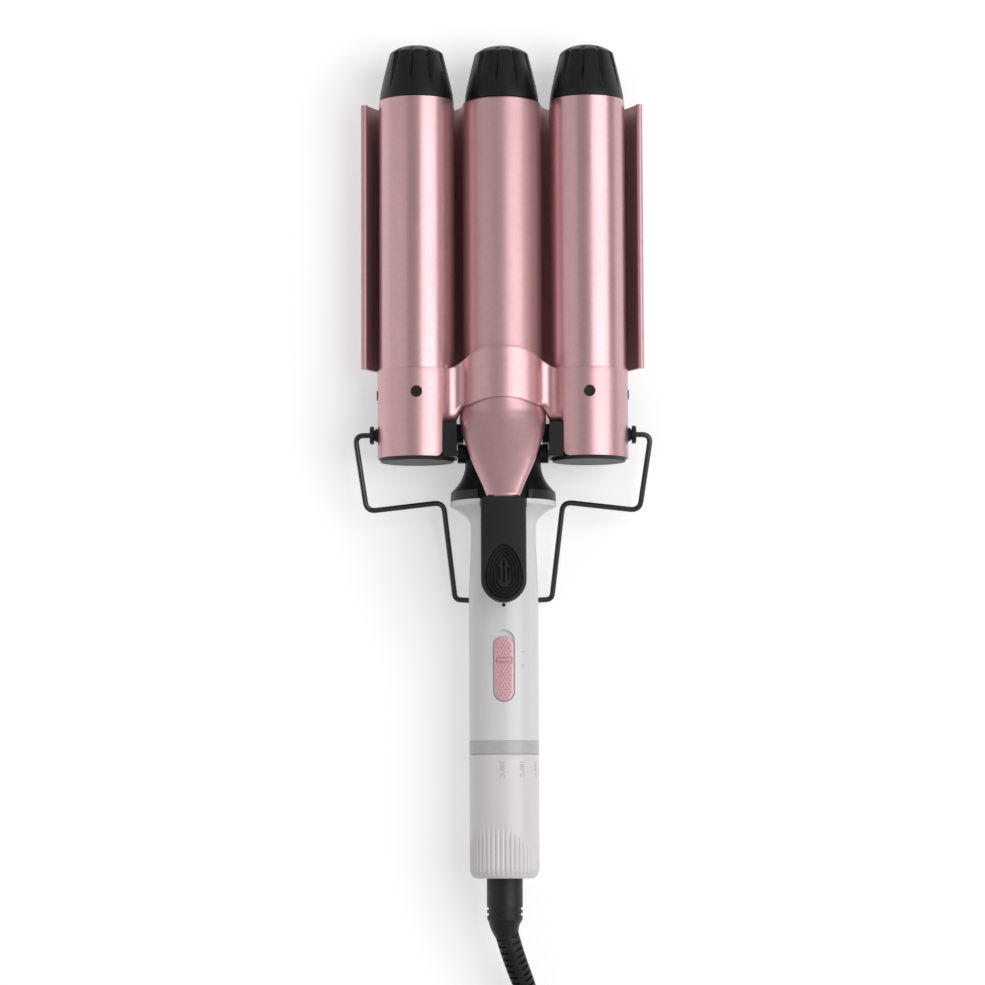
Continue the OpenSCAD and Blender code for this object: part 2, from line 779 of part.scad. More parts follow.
module bush_hole() { along_x(2.2, barrel_pitch + housing_r - 4, 70, stand_y, axis_z); }
module plug_hole() { along_x(2.1 + seat_fit, barrel_pitch + housing_r - 1.2, 70, screw_y, axis_z); }

module base_shell() {
  color("dimgray") difference() {
    union() {
      // Lower half of the housing
      slab_y(housing_rear_y, parting_y) intersection() {
        translate([barrel_pitch, axis_z]) ring_2d(housing_r, housing_bore_r);
        translate([0, axis_z - 40]) square([80, 40]);
      }
      // Inner wall with the hinge ear, and the step that closes the corner behind the arch
      slab_y(housing_rear_y, arch_side_rear_y - 0.6) difference() {
        translate([inner_wall_x, axis_z - 9])
          square([cover_cut_x - 0.1 - inner_wall_x, block_top_z - axis_z + 9]);
        translate([barrel_pitch, axis_z]) circle(r = housing_bore_r);
      }
      // Cheek that closes the gap beside the neck, in front of its lug
      translate([neck_r + 0.8, hinge_y + lug_r + 0.7, axis_z - 9])
        cube([inner_wall_x - neck_r - 0.7, arch_side_rear_y - 0.6 - hinge_y - lug_r - 0.7, 12]);
    }
    along_x(pin_r + run_fit, 0, 40, hinge_y, axis_z);
    bush_hole();
    plug_hole();
    translate([barrel_pitch, screw_y, axis_z - 30]) cylinder(r = 1.5, h = 20);
    translate([barrel_pitch, screw_y, axis_z - housing_r + counterbore - 10])
      cylinder(r = screw_head_r + 0.2, h = 10);
  }
}
module right_base_shell() { base_shell(); }
module left_base_shell() { left_hand() base_shell(); }

module end_disc() {
  disc_r = housing_r - 0.6;
  color("dimgray") {
    translate([barrel_pitch, housing_rear_y, axis_z]) rotate([90, 0, 0])
      cylinder(r1 = disc_r, r2 = disc_r - 0.8, h = end_disc_t);
    along_y(housing_bore_r - seat_fit, housing_rear_y - eps, housing_rear_y + 3, barrel_pitch);
  }
}
module right_end_disc() { end_disc(); }
module left_end_disc() { left_hand() end_disc(); }

module cover_screws() {
  color("gray") both_hands() translate([barrel_pitch, screw_y, axis_z + housing_r - screw_sink])
    mirror([0, 0, 1]) screw(screw_head_r, screw_head_h, 1.2, 5.4);
}

module base_screws() {
  color("gray") both_hands() translate([barrel_pitch, screw_y, axis_z - housing_r + screw_sink])
    screw(screw_head_r, screw_head_h, 1.2, 5.4);
}

module side_plugs() {
  color("black") both_hands()
    along_x(2.1, barrel_pitch + housing_r - 1.1, barrel_pitch + housing_r + 0.3, screw_y, axis_z);
}

// Spool that holds one end of the stand wire
module stand_bushes() {
  face_x = barrel_pitch + housing_r;
  color("black") both_hands() translate([face_x, stand_y, axis_z]) rotate([0, 90, 0]) difference() {
    union() {
      translate([0, 0, -1.8]) cylinder(r = 2.15, h = 2);
      translate([0, 0, 0.05]) cylinder(r = 2.9, h = 0.9);
      cylinder(r = 2.3, h = 2);
      translate([0, 0, 1.5]) cylinder(r = 3.8, h = stand_bush_len - 1.5);
    }
    translate([0, 0, -3]) cylinder(r = bush_bore_r, h = 10);
  }
}

module on_lever() { translate([0, lever_front_y, lever_top_z]) rotate([-lever_slope, 0, 0]) children(); }
module lever_tongue(grow) {
  on_lever() translate([-4 - grow, -9 - grow, -lever_t / 2 - 0.7 - grow])
    cube([8 + 2 * grow, 12, 1.4 + 2 * grow]);
}
module thumb_lever() {
  color("dimgray") difference() {
    on_lever() translate([0, 0, -lever_t]) linear_extrude(height = lever_t) {
      length = lever_len / cos(lever_slope);
      translate([-lever_w / 2, -length + lever_w / 2]) square([lever_w, length - lever_w / 2 - 2]);
      translate([0, -length + lever_w / 2]) circle(d = lever_w);
      translate([-lever_w / 2 + 2, -3]) square([lever_w - 4, 3]);
      for (side = [-1, 1]) translate([side * (lever_w / 2 - 2), -2]) circle(r = 2);
    }
    lever_tongue(seat_fit);
  }
}

// ---------- stand ----------

stand_foot_y = stand_y - 69.7;
stand_foot_z = axis_z - handle_r - stand_gap - wire_r;
function stand_height(y) = axis_z - (stand_y - y) * (axis_z - stand_foot_z) / (stand_y - stand_foot_y);
function on_stand(x, y) = [x, y, stand_height(y)];
stand_half = [
  [barrel_pitch + housing_r - 1.6, stand_y],
  [stand_half_w, stand_y], [stand_half_w - 4.7, stand_y - 31.5], [25.3, stand_y - 27.9],
  [20.5, stand_foot_y + 1.2]
];
module wire_stand() {
  right = [for (p = stand_half) on_stand(p[0], p[1])];
  left = [for (k = [len(right) - 1:-1:0]) [-right[k][0], right[k][1], right[k][2]]];
  route = concat(right, [on_stand(0, stand_foot_y)], left);
  bends = [0, 4, 4, 4, 2.4, 4, 2.4, 4, 4, 4, 0];
  path = rounded(route, bends, 4);
  color("black") swept(path, same(path, wire_r), 12);
}

// ---------- dial ----------

module heat_dial() {
  front_y = dial_front_y - 0.15;
  color("linen") difference() {
    union() {
      along_y(handle_r, dial_rear_y + flute_len + 2, front_y);
      translate([0, dial_rear_y + 1.2, axis_z]) rotate([-90, 0, 0])
        linear_extrude(height = flute_len + 1) difference() {
          circle(r = handle_r + 0.1);
          for (k = [0:dial_flutes - 1]) rotate(360 * k / dial_flutes)
            translate([handle_r + 0.25, 0]) circle(r = 0.62, $fn = 16);
        }
      translate([0, dial_rear_y, axis_z]) rotate([-90, 0, 0])
        cylinder(r1 = handle_r - 1.4, r2 = handle_r - 0.2, h = 1.2 + eps);
    }
    // Bearing lands at both ends, relieved between them
    along_y(tail_r + run_fit, tail_rear_y - 0.2, front_y + 1);
    along_y(handle_r - dial_wall, tail_rear_y + land_len, front_y - land_len);
    along_y(swivel_r + 0.7, dial_rear_y - 1, front_y);
  }
}

// ---------- cord ----------

module cord_swivel() {
  color("black") {
    along_y(tail_bore_r - run_fit, tail_rear_y + 2 + run_fit, tail_rear_y + 2 + flange_len);
    difference() {
      translate([0, dial_rear_y, axis_z]) rotate([90, 0, 0])
        cylinder(r1 = swivel_r, r2 = swivel_r - 0.3, h = swivel_len);
      // Two grip notches on each side of the block
      for (back = [13.2, 15.6]) both_hands()
        translate([1.2, dial_rear_y - back, axis_z - 10]) cube([10, 1.1, 20]);
    }
    along_y(swivel_r - 1.2, dial_rear_y - swivel_len, dial_rear_y - 10);
    along_y(swivel_r, dial_rear_y - eps, tail_rear_y + 3);
  }
}

relief_r = 4.9;
relief_start_r = swivel_r - 0.6;
rib_depth = 0.6;
module cord_relief() {
  start = [0, dial_rear_y - swivel_len, axis_z];
  route = concat([start, start - [0, 1.5, 0]], relief_route);
  fine = [
    for (k = [0:steps(route) - 1]) each [for (t = [0:5]) route[k] + (route[k + 1] - route[k]) * t / 6]
  ];
  path = concat(fine, [relief_route[steps(relief_route)]]);
  radii = [
    for (k = [0:steps(path)])
    let (taper = relief_r - 0.9 * k / steps(path), neck = max(0, 1 - k / 7))
    taper + (relief_start_r - relief_r) * neck - (k % 4 >= 2 && k > 7 && k < steps(path) ? rib_depth : 0)
  ];
  color("black") swept(path, radii, 12);
}

module free_cord() {
  color("black") swept(cord_route, same(cord_route, cord_d / 2), 12);
}

// The stored cord: in on the tie, up a layer in the half turn at the middle, out again on top
low_z = tie_t + cord_d / 2;
layer_rise = cord_d + turn_gap;
inner_turn_r = coil_r - coil_pitch * coil_turns;
coil_steps = coil_turns * coil_rings;
climb_steps = coil_rings / 2;
out_steps = out_turns * coil_rings;
function coil_point(r, k, z) =
  let (a = 360 * k / coil_rings) [coil_centre[0] + r * cos(a), coil_centre[1] - r * sin(a), z];
function turn_in(k) = coil_point(coil_r - coil_pitch * k / coil_rings, k, low_z);
function climb(k) = coil_point(
  inner_turn_r - coil_pitch * min(k, climb_steps - k) / coil_rings, coil_steps + k,
  low_z + layer_rise * (1 - cos(180 * k / climb_steps)) / 2
);
function turn_out(k) = coil_point(
  inner_turn_r + coil_pitch * k / coil_rings, coil_steps + climb_steps + k, low_z + layer_rise
);
coil_turned = concat(
  [turn_in(0) + [0, cord_d, 0]],
  [for (k = [0:coil_steps - 1]) turn_in(k)],
  [for (k = [0:climb_steps - 1]) climb(k)],
  [for (k = [0:out_steps]) turn_out(k)]
);
coil_exit = coil_turned[steps(coil_turned)];
exit_angle = -360 * (coil_turns + 0.5 + out_turns) - 90;
exit_dir = [cos(exit_angle), sin(exit_angle), 0];
coil_path = concat(coil_turned, [coil_exit + cord_d * exit_dir]);
coil_out = coil_path[steps(coil_path)];
tail_path = [for (p = tail_steps) coil_out + [p[0], p[1], 0]];
plug_start = tail_path[steps(tail_path)];
plug_dir = heading(tail_path, steps(tail_path));
plug_angle = atan2(plug_dir[1], plug_dir[0]);
function length_to(pts, i) = i == 0 ? 0 : norm(pts[i] - pts[i - 1]) + length_to(pts, i - 1);
least_gap = min([
  for (i = [0:steps(coil_path) - 8]) for (j = [i + 8:steps(coil_path)]) norm(coil_path[i] - coil_path[j])
]) - cord_d;
echo(least_gap_of_the_coil = least_gap, coil_length = length_to(coil_path, steps(coil_path)),
  free_length = length_to(cord_route, steps(cord_route)),
  tail_length = length_to(tail_path, steps(tail_path)),
  coil_out = coil_out, plug_start = plug_start, plug_angle = plug_angle);

module cord_coil() {
  color("black") swept(coil_path, same(coil_path, cord_d / 2), 6);
}

module cord_tail() {
  color("black") swept(tail_path, same(tail_path, cord_d / 2), 12);
}

// A flat band round the bundle of turns, on the side away from the climb
module cord_tie() {
  inside = coil_r - coil_pitch * (coil_turns - 0.25) - cord_d / 2 - 0.7;
  outside = coil_r - coil_pitch * 0.25 + cord_d / 2 + 0.3;
  top_z = low_z + layer_rise + cord_d / 2 + 0.15;
  color("black") translate([coil_centre[0] - tie_w / 2, coil_centre[1] - outside, 0]) difference() {
    translate([0, -tie_t, 0]) cube([tie_w, outside - inside + 2 * tie_t, top_z + tie_t]);
    translate([-1, 0, tie_t - eps]) cube([tie_w + 2, outside - inside, top_z - tie_t]);
  }
}

// Two pin moulded plug that lies on the table beside the coil
plug_w = 36;
plug_h = 2 * (low_z + layer_rise);
plug_len = 20;
plug_taper = 16;
pin_gap = 19;
plug_pin_d = 4.8;
plug_pin_len = 17;
pin_root_r = 2.2;
pin_root_len = 8;
module at_plug() { translate(plug_start) rotate([0, 0, plug_angle - 90]) children(); }
module plug_body() {
  side_x = plug_w / 2 - plug_h / 2;
  color("black") at_plug() difference() {
    hull() {
      translate([0, 2, 0]) rotate([90, 0, 0]) cylinder(r = cord_d / 2 + 1, h = 2, $fn = 32);
      for (side = [-1, 1]) translate([side * side_x, plug_taper, 0]) rotate([-90, 0, 0])
        cylinder(d = plug_h, h = plug_len, $fn = 32);
    }
    for (side = [-1, 1]) translate([side * pin_gap / 2, plug_taper + plug_len - pin_root_len, 0])
      rotate([-90, 0, 0]) cylinder(r = pin_root_r + seat_fit, h = 10);
  }
}

module plug_pins() {
  color("gold") at_plug() for (side = [-1, 1])
    translate([side * pin_gap / 2, plug_taper + plug_len - pin_root_len + seat_fit, 0]) rotate([-90, 0, 0]) {
      cylinder(r = pin_root_r, h = pin_root_len + eps);
      translate([0, 0, pin_root_len]) cylinder(d = plug_pin_d, h = plug_pin_len);
      translate([0, 0, pin_root_len + plug_pin_len]) cylinder(d1 = plug_pin_d, d2 = plug_pin_d - 2, h = 2);
    }
}

wave_plate();
spine_tube();
middle_tip_cap();
middle_heater();
neck();
hinge_pin();
clamp_spring();
handle_upper_shell();
handle_lower_shell();
handle_screws();
light_lens();
circuit_board();
slide_switch();
heat_switch();
grey_ring();
tail_tube();
supply_leads();
heater_leads();
clamp_cover();
left_base_shell();
right_base_shell();
left_barrel();
right_barrel();
left_tip_cap();
right_tip_cap();
left_barrel_mount();
right_barrel_mount();
left_heater();
right_heater();
left_barrel_leads();
right_barrel_leads();
left_end_disc();
right_end_disc();
cover_screws();
base_screws();
side_plugs();
stand_bushes();
thumb_lever();
wire_stand();
power_slider();
heat_dial();
cord_swivel();
cord_relief();
free_cord();
cord_coil();
cord_tail();
cord_tie();
plug_body();
plug_pins();
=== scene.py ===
import math

import bmesh
import bpy
from bpy.props import FloatProperty, FloatVectorProperty, IntProperty, PointerProperty
from mathutils import Matrix, Vector


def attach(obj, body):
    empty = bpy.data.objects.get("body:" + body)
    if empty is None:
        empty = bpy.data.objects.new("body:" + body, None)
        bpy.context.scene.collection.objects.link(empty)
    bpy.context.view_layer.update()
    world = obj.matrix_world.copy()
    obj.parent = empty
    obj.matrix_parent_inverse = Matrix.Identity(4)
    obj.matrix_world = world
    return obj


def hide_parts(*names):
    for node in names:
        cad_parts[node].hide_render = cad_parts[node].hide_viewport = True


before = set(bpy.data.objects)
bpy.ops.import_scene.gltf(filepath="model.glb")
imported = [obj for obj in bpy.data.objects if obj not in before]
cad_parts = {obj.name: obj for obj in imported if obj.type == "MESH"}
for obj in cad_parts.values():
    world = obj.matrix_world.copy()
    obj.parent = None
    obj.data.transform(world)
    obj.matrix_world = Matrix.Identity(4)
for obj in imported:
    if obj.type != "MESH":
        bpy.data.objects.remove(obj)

bl_info = {
    "name": "Hair waver",
    "version": (1, 0, 0),
    "blender": (4, 5, 0),
    "location": "View3D > Sidebar > Waver",
    "description": "Dresses the frame of a triple barrel hair waver with its visible pieces",
    "category": "Object",
}

MM = 0.001

# Places that come from the frame, in millimetres: X across the jaws, Y to the tips, Z up
AXIS_Z = 22.7
RIDGE_Z = 21.2
PITCH = 36.2
BARREL_TIP_Y = 152.65
PARTING_Y = 37.65
HOUSING_REAR_Y = 0.45
HINGE_Y = 2.45
GUARD_Y = -17.85
HANDLE_REAR_Y = -118.35
DIAL_FRONT_Y = -123.85
DIAL_REAR_Y = -175.35
SCREW_Y = 27.35
STAND_Y = 10.45
SLOT_Y = -87.35
LAMP_Y = -62.05
HANDLE_SCREW_Y = -43.85


# ---------- settings ----------

def length(name, text, default, low=0.0):
    return FloatProperty(
        name=name, description=text, default=default * MM, min=low, unit="LENGTH", subtype="DISTANCE", precision=5
    )


def colour(name, text, default):
    return FloatVectorProperty(
        name=name, description=text, subtype="COLOR", size=3, min=0, max=1, default=default
    )


class WaverSizes(bpy.types.PropertyGroup):
    barrel_radius: length("Barrel radius", "Radius of the two outer barrels", 16.0)
    cap_length: length("Cap length", "Length of a tip cap", 24.4)
    cap_tip_radius: length("Cap tip radius", "Radius of a cap at its tip", 11.5)
    grooves: IntProperty(name="Grooves", description="Tapering grooves round a cap", default=10, min=4, max=16)
    housing_radius: length("Housing radius", "Radius of the housings behind the barrels", 16.65)
    arch_radius: length("Arch radius", "Outer radius of the arch over the ridge", 19.6)
    handle_radius: length("Handle radius", "Radius of the handle", 14.6)
    lever_width: length("Lever width", "Width of the thumb lever", 18.8)
    lever_length: length("Lever length", "Length of the thumb lever seen from above", 44.2)
    slider_width: length("Slider width", "Width of the slide button", 8.4)
    slider_length: length("Slider length", "Length of the slide button", 26.9)
    flutes: IntProperty(name="Flutes", description="Flutes round the dial", default=44, min=20, max=60)
    wire_radius: length("Wire radius", "Radius of the stand wire", 1.15)
    cord_radius: length("Cord radius", "Radius of the cord", 3.0)


class WaverColours(bpy.types.PropertyGroup):
    rose: colour("Rose", "Metallic paint of the barrels, plate and cover", (0.62, 0.372, 0.39))
    black: colour("Black", "Black moulded plastic", (0.005, 0.005, 0.0055))
    lever: colour("Lever", "Dark grey plastic of the thumb lever", (0.008, 0.0082, 0.0098))
    white: colour("White", "White plastic of the handle", (0.71, 0.71, 0.715))
    dial: colour("Dial", "White plastic of the dial", (0.72, 0.69, 0.69))
    ring: colour("Ring", "Grey ring in front of the dial", (0.50, 0.485, 0.49))
    slider: colour("Slider", "Rose plastic of the slide button", (0.72, 0.42, 0.46))
    print_ink: colour("Ink", "Rose ink of the dial's figures", (0.62, 0.30, 0.34))
    cord: colour("Cord", "Black rubber of the cord", (0.008, 0.008, 0.0085))


class WaverStage(bpy.types.PropertyGroup):
    key: FloatProperty(name="Key", description="Power of the right softbox", default=12.0, min=0, unit="POWER")
    fill: FloatProperty(name="Fill", description="Power of the left softbox", default=2.3, min=0, unit="POWER")
    front: FloatProperty(name="Front", description="Power of the front softbox", default=1.6, min=0, unit="POWER")
    sky: FloatProperty(name="Sky", description="Strength of the even light from all round", default=0.37, min=0)
    distance: length("Camera distance", "Distance of the camera from the waver", 1490.0)
    tilt: FloatProperty(name="Camera tilt", description="Lean of the camera towards the cord end",
                        default=math.radians(5), subtype="ANGLE")


def sizes():
    return bpy.context.scene.waver_sizes


def mm(name):
    """A size from the settings, in millimetres."""
    return getattr(sizes(), name) / MM


def tones():
    return bpy.context.scene.waver_colours


# ---------- materials ----------

EVEN = (1, 1, 1)
# Most of a noise lies between these
NOISE_LOW, NOISE_HIGH = 0.3, 0.7


def noise_over(tree, scale, stretch=EVEN, detail=3.0):
    """A noise on Object coordinates; scale is in patches a metre."""
    place = tree.nodes.new("ShaderNodeTexCoord")
    mapping = tree.nodes.new("ShaderNodeMapping")
    mapping.inputs["Scale"].default_value = stretch
    noise = tree.nodes.new("ShaderNodeTexNoise")
    noise.inputs["Scale"].default_value = scale
    noise.inputs["Detail"].default_value = detail
    tree.links.new(place.outputs["Object"], mapping.inputs["Vector"])
    tree.links.new(mapping.outputs["Vector"], noise.inputs["Vector"])
    return noise.outputs["Fac"]


def mottle(tree, shader, base, spread, scale, stretch=EVEN):
    """The base colour drifts by a share of itself."""
    ramp = tree.nodes.new("ShaderNodeValToRGB")
    for stop, place, gain in zip(ramp.color_ramp.elements, (NOISE_LOW, NOISE_HIGH), (1 - spread, 1 + spread)):
        stop.position = place
        stop.color = (*[min(1, c * gain) for c in base], 1)
    tree.links.new(noise_over(tree, scale, stretch), ramp.inputs["Fac"])
    tree.links.new(ramp.outputs["Color"], shader.inputs["Base Color"])


def rough_drift(tree, shader, low, high, scale, stretch=EVEN):
    """The roughness drifts between two values."""
    spread = tree.nodes.new("ShaderNodeMapRange")
    for socket, value in (("From Min", NOISE_LOW), ("From Max", NOISE_HIGH), ("To Min", low), ("To Max", high)):
        spread.inputs[socket].default_value = value
    tree.links.new(noise_over(tree, scale, stretch), spread.inputs["Value"])
    tree.links.new(spread.outputs["Result"], shader.inputs["Roughness"])


def grain(tree, shader, scale, depth, strength, stretch=EVEN):
    """A fine bump; depth is in millimetres."""
    bump = tree.nodes.new("ShaderNodeBump")
    bump.inputs["Strength"].default_value = strength
    bump.inputs["Distance"].default_value = depth * MM
    tree.links.new(noise_over(tree, scale, stretch, 2.0), bump.inputs["Height"])
    tree.links.new(bump.outputs["Normal"], shader.inputs["Normal"])


def finish(name, base, roughness, mottling, drift=None, bump=None, metallic=0.0, coat=0.0, coat_roughness=0.2,
           specular=0.5):
    """A material. mottling holds a share and patches a metre; drift how far the roughness goes down and up, and
    patches a metre; bump its patches a metre, depth and strength. Each may end with a stretch."""
    made = bpy.data.materials.get(name) or bpy.data.materials.new(name)
    made.use_nodes = True
    tree = made.node_tree
    shader = tree.nodes["Principled BSDF"]
    for socket, value in (
        ("Base Color", (*base, 1)), ("Roughness", roughness), ("Metallic", metallic), ("Coat Weight", coat),
        ("Coat Roughness", coat_roughness), ("Specular IOR Level", specular),
    ):
        shader.inputs[socket].default_value = value
    mottle(tree, shader, base, *mottling)
    if drift:
        rough_drift(tree, shader, roughness - drift[0], roughness + drift[1], *drift[2:])
    if bump:
        grain(tree, shader, *bump)
    return made


def rose_paint(name, painted_shade=1.0, roughness=0.34, metallic=0.85):
    # Below 1, painted_shade darkens this copy of the rose paint: painted shade.
    base = [c * painted_shade for c in tones().rose]
    return finish(name, base, roughness, (0.03, 500), (0.03, 0.04, 90, (1, 0.25, 1)), (1900, 0.006, 0.12),
                  metallic=metallic, coat=0.3, coat_roughness=0.3)


def black_plastic(name, base=None, roughness=0.42, depth=0.02):
    return finish(name, base or tones().black, roughness, (0.12, 700), (0.05, 0.07, 260), (2400, depth, 0.4),
                  specular=0.35)


def white_plastic(name, base, roughness=0.3):
    """White moulded plastic with faint flow marks along the handle."""
    return finish(name, base, roughness, (0.018, 60, (1, 0.2, 1)), (0.03, 0.05, 150, (1, 0.3, 1)),
                  (1200, 0.006, 0.15), coat=0.15)


def bare_metal(name, base, roughness=0.35, stretch=(1, 0.05, 1)):
    return finish(name, base, roughness, (0.06, 900, stretch), (0.08, 0.1, 1200, stretch),
                  (1800, 0.006, 0.4, stretch), metallic=1.0)


def plain_plastic(name, base, roughness=0.5):
    return finish(name, base, roughness, (0.1, 400), (0.06, 0.08, 300), (1600, 0.015, 0.4))


# ---------- shaping helpers ----------

def smooth(t):
    t = min(1.0, max(0.0, t))
    return t * t * (3 - 2 * t)


def between(t, low, high):
    """0 at low, 1 at high, eased."""
    return smooth((t - low) / (high - low))


def shares(count, first=0):
    """Even steps up to 1."""
    return [k / count for k in range(first, count + 1)]


def distances(places):
    """How far along a route each of its places lies."""
    out = [0.0]
    for a, b in zip(places, places[1:]):
        out.append(out[-1] + (b - a).length)
    return out


def face_out(bm):
    bmesh.ops.recalc_face_normals(bm, faces=bm.faces)


def circle(bm, sides):
    """The verts of an open ring of radius 1."""
    return bmesh.ops.create_circle(bm, cap_ends=False, radius=1, segments=sides)["verts"]


def edges_at(verts):
    return list({e for v in verts for e in v.link_edges})


def grown_verts(grown):
    return [g for g in grown if isinstance(g, bmesh.types.BMVert)]


def grown_edges(grown, verts):
    return [g for g in grown if isinstance(g, bmesh.types.BMEdge) and all(v in verts for v in g.verts)]


def eased_route(points, per):
    """Points of a smooth curve through the given ones, per pieces to each stretch."""
    p = [Vector(x) for x in points]
    p = [2 * p[0] - p[1], *p, 2 * p[-1] - p[-2]]
    out = []
    for i in range(1, len(p) - 2):
        a, b, c, d = p[i - 1:i + 3]
        for t in shares(per)[:-1]:
            out.append(0.5 * (
                2 * b + (c - a) * t + (2 * a - 5 * b + 4 * c - d) * t * t + (3 * b - a - 3 * c + d) * t ** 3
            ))
    return out + [p[-2]]


def lathe(bm, outline, steps=160, x=0.0, z=AXIS_Z, closed=False):
    """An outline of (radius, y) pairs, spun about a line along Y."""
    verts = [bm.verts.new((r, y, 0)) for r, y in outline]
    edges = [bm.edges.new(pair) for pair in zip(verts, verts[1:])]
    if closed:
        edges.append(bm.edges.new((verts[-1], verts[0])))
    bmesh.ops.spin(
        bm, geom=verts + edges, cent=(0, 0, 0), axis=(0, 1, 0), angle=math.tau, steps=steps, use_merge=True
    )
    bmesh.ops.remove_doubles(bm, verts=bm.verts, dist=0.0005)
    face_out(bm)
    bmesh.ops.translate(bm, vec=(x, 0, z), verts=bm.verts)


def ring_frames(points):
    """One matrix for each point, with its Z along the route and no twist."""
    around = zip(points[:1] + points, points[1:] + points[-1:])
    heads = [(after - before).normalized() for before, after in around]
    side = heads[0].cross(Vector((0, 0, 1)))
    frames = []
    for here, head in zip(points, heads):
        side = (side - head * side.dot(head)).normalized()
        turn = Matrix((side, side.cross(head), head)).transposed().to_4x4()
        frames.append(Matrix.Translation(here) @ turn)
    return frames


def tube(bm, points, radius, sides):
    """A closed round tube along the points."""
    frames = [here @ Matrix.Diagonal((radius, radius, 1, 1)) for here in ring_frames(points)]
    ring = circle(bm, sides)
    first = edges = edges_at(ring)
    bmesh.ops.transform(bm, matrix=frames[0], verts=ring)
    for before, after in zip(frames, frames[1:]):
        grown = bmesh.ops.extrude_edge_only(bm, edges=edges)["geom"]
        moved = grown_verts(grown)
        edges = grown_edges(grown, moved)
        bmesh.ops.transform(bm, matrix=after @ before.inverted(), verts=moved)
    for end in (first, edges):
        bmesh.ops.edgeloop_fill(bm, edges=end)
    face_out(bm)


def skin(bm, rings):
    """One closed surface over rings of edges."""
    for a, b in zip(rings, rings[1:]):
        bmesh.ops.bridge_loops(bm, edges=a + b)
    for end in (rings[0], rings[-1]):
        bmesh.ops.edgeloop_fill(bm, edges=end)
    face_out(bm)


def sheet_of(bm, across, down, place):
    """A grid whose point at shares (u, v) goes to place(u, v), in millimetres."""
    made = bmesh.ops.create_grid(bm, x_segments=across, y_segments=down, size=0.5)["verts"]
    for v in made:
        v.co = place(v.co.x + 0.5, v.co.y + 0.5)


def face_up(bm):
    """Turns a sheet's faces so that the highest looks up."""
    face_out(bm)
    crown = max(bm.faces, key=lambda f: f.calc_center_median().z)
    if crown.normal.z < 0:
        bmesh.ops.reverse_faces(bm, faces=bm.faces)


def drum(bm, radius, low, high, at, axis, segments):
    """A closed round bar between two stations along an axis through a point."""
    made = bmesh.ops.create_cone(
        bm, cap_ends=True, segments=segments, radius1=radius, radius2=radius, depth=high - low
    )["verts"]
    turn, along = {
        "X": (Matrix.Rotation(math.pi / 2, 4, "Y"), (1, 0, 0)),
        "Y": (Matrix.Rotation(-math.pi / 2, 4, "X"), (0, 1, 0)),
        "Z": (Matrix(), (0, 0, 1)),
    }[axis]
    middle = Vector(at) + Vector(along) * (low + high) / 2
    bmesh.ops.transform(bm, matrix=Matrix.Translation(middle) @ turn, verts=made)
    return made


def block(bm, one, other):
    """A box between two opposite corners."""
    made = bmesh.ops.create_cube(bm, size=1)["verts"]
    low, high = ([pick(pair) for pair in zip(one, other)] for pick in (min, max))
    for v in made:
        v.co = Vector((low[i] + (v.co[i] + 0.5) * (high[i] - low[i]) for i in range(3)))
    return made


def placed(name, data):
    """A new object in the scene that shows the data."""
    made = bpy.data.objects.new(name, data)
    bpy.context.scene.collection.objects.link(made)
    return made


def as_mesh(piece):
    """A new mesh of an object with its modifiers applied."""
    bpy.context.view_layer.update()
    return bpy.data.meshes.new_from_object(piece.evaluated_get(bpy.context.evaluated_depsgraph_get()))


def new_object(bm, name):
    """The bmesh, drawn in millimetres, becomes an object in metres at the origin."""
    bmesh.ops.scale(bm, vec=(MM, MM, MM), verts=bm.verts)
    mesh = bpy.data.meshes.new(name)
    bm.to_mesh(mesh)
    bm.free()
    return placed(name, mesh)


def shaped(name, draw):
    """An object from a function that draws it in a bmesh, in millimetres."""
    bm = bmesh.new()
    draw(bm)
    return new_object(bm, name)


def carve(piece, cutters):
    """Takes closed shapes, each drawn by a function, out of a piece."""
    tools = []
    for i, draw in enumerate(cutters):
        tool = shaped(f"cutter_{i}", draw)
        cut = piece.modifiers.new("cut", "BOOLEAN")
        cut.operation, cut.solver, cut.object = "DIFFERENCE", "EXACT", tool
        tools.append(tool)
    cut_mesh = as_mesh(piece)
    cut_mesh.name = piece.name
    piece.modifiers.clear()
    old, piece.data = piece.data, cut_mesh
    bpy.data.meshes.remove(old)
    for tool in tools:
        mesh = tool.data
        bpy.data.objects.remove(tool)
        bpy.data.meshes.remove(mesh)


def dress(piece, material, body, replaces=(), sharp=35.0, edge=0.0):
    """Material, shading and the place in the frame of a new piece."""
    mesh = piece.data
    mesh.materials.clear()
    mesh.materials.append(material)
    mesh.shade_smooth()
    mesh.set_sharp_from_angle(angle=math.radians(sharp))
    if edge:
        bevel = piece.modifiers.new("edges", "BEVEL")
        bevel.width, bevel.segments, bevel.limit_method = edge * MM, 2, "ANGLE"
        bevel.angle_limit = math.radians(45)
    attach(piece, body)
    if replaces:
        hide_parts(*replaces)


def paint(material, *names):
    """Gives carried-over CAD nodes their material."""
    for name in names:
        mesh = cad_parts[name].data
        mesh.materials.clear()
        mesh.materials.append(material)


def stadium(bm, wide, long, low, high, y):
    """A closed bar with two round ends along Y."""
    made = bmesh.ops.create_circle(bm, cap_ends=True, radius=wide / 2, segments=48)["verts"]
    for v in made:
        v.co.y += math.copysign((long - wide) / 2, v.co.y) + y
        v.co.z = low
    faces = list({f for v in made for f in v.link_faces})
    grown = bmesh.ops.extrude_face_region(bm, geom=faces)["geom"]
    bmesh.ops.translate(bm, vec=(0, 0, high - low), verts=grown_verts(grown))
    face_out(bm)


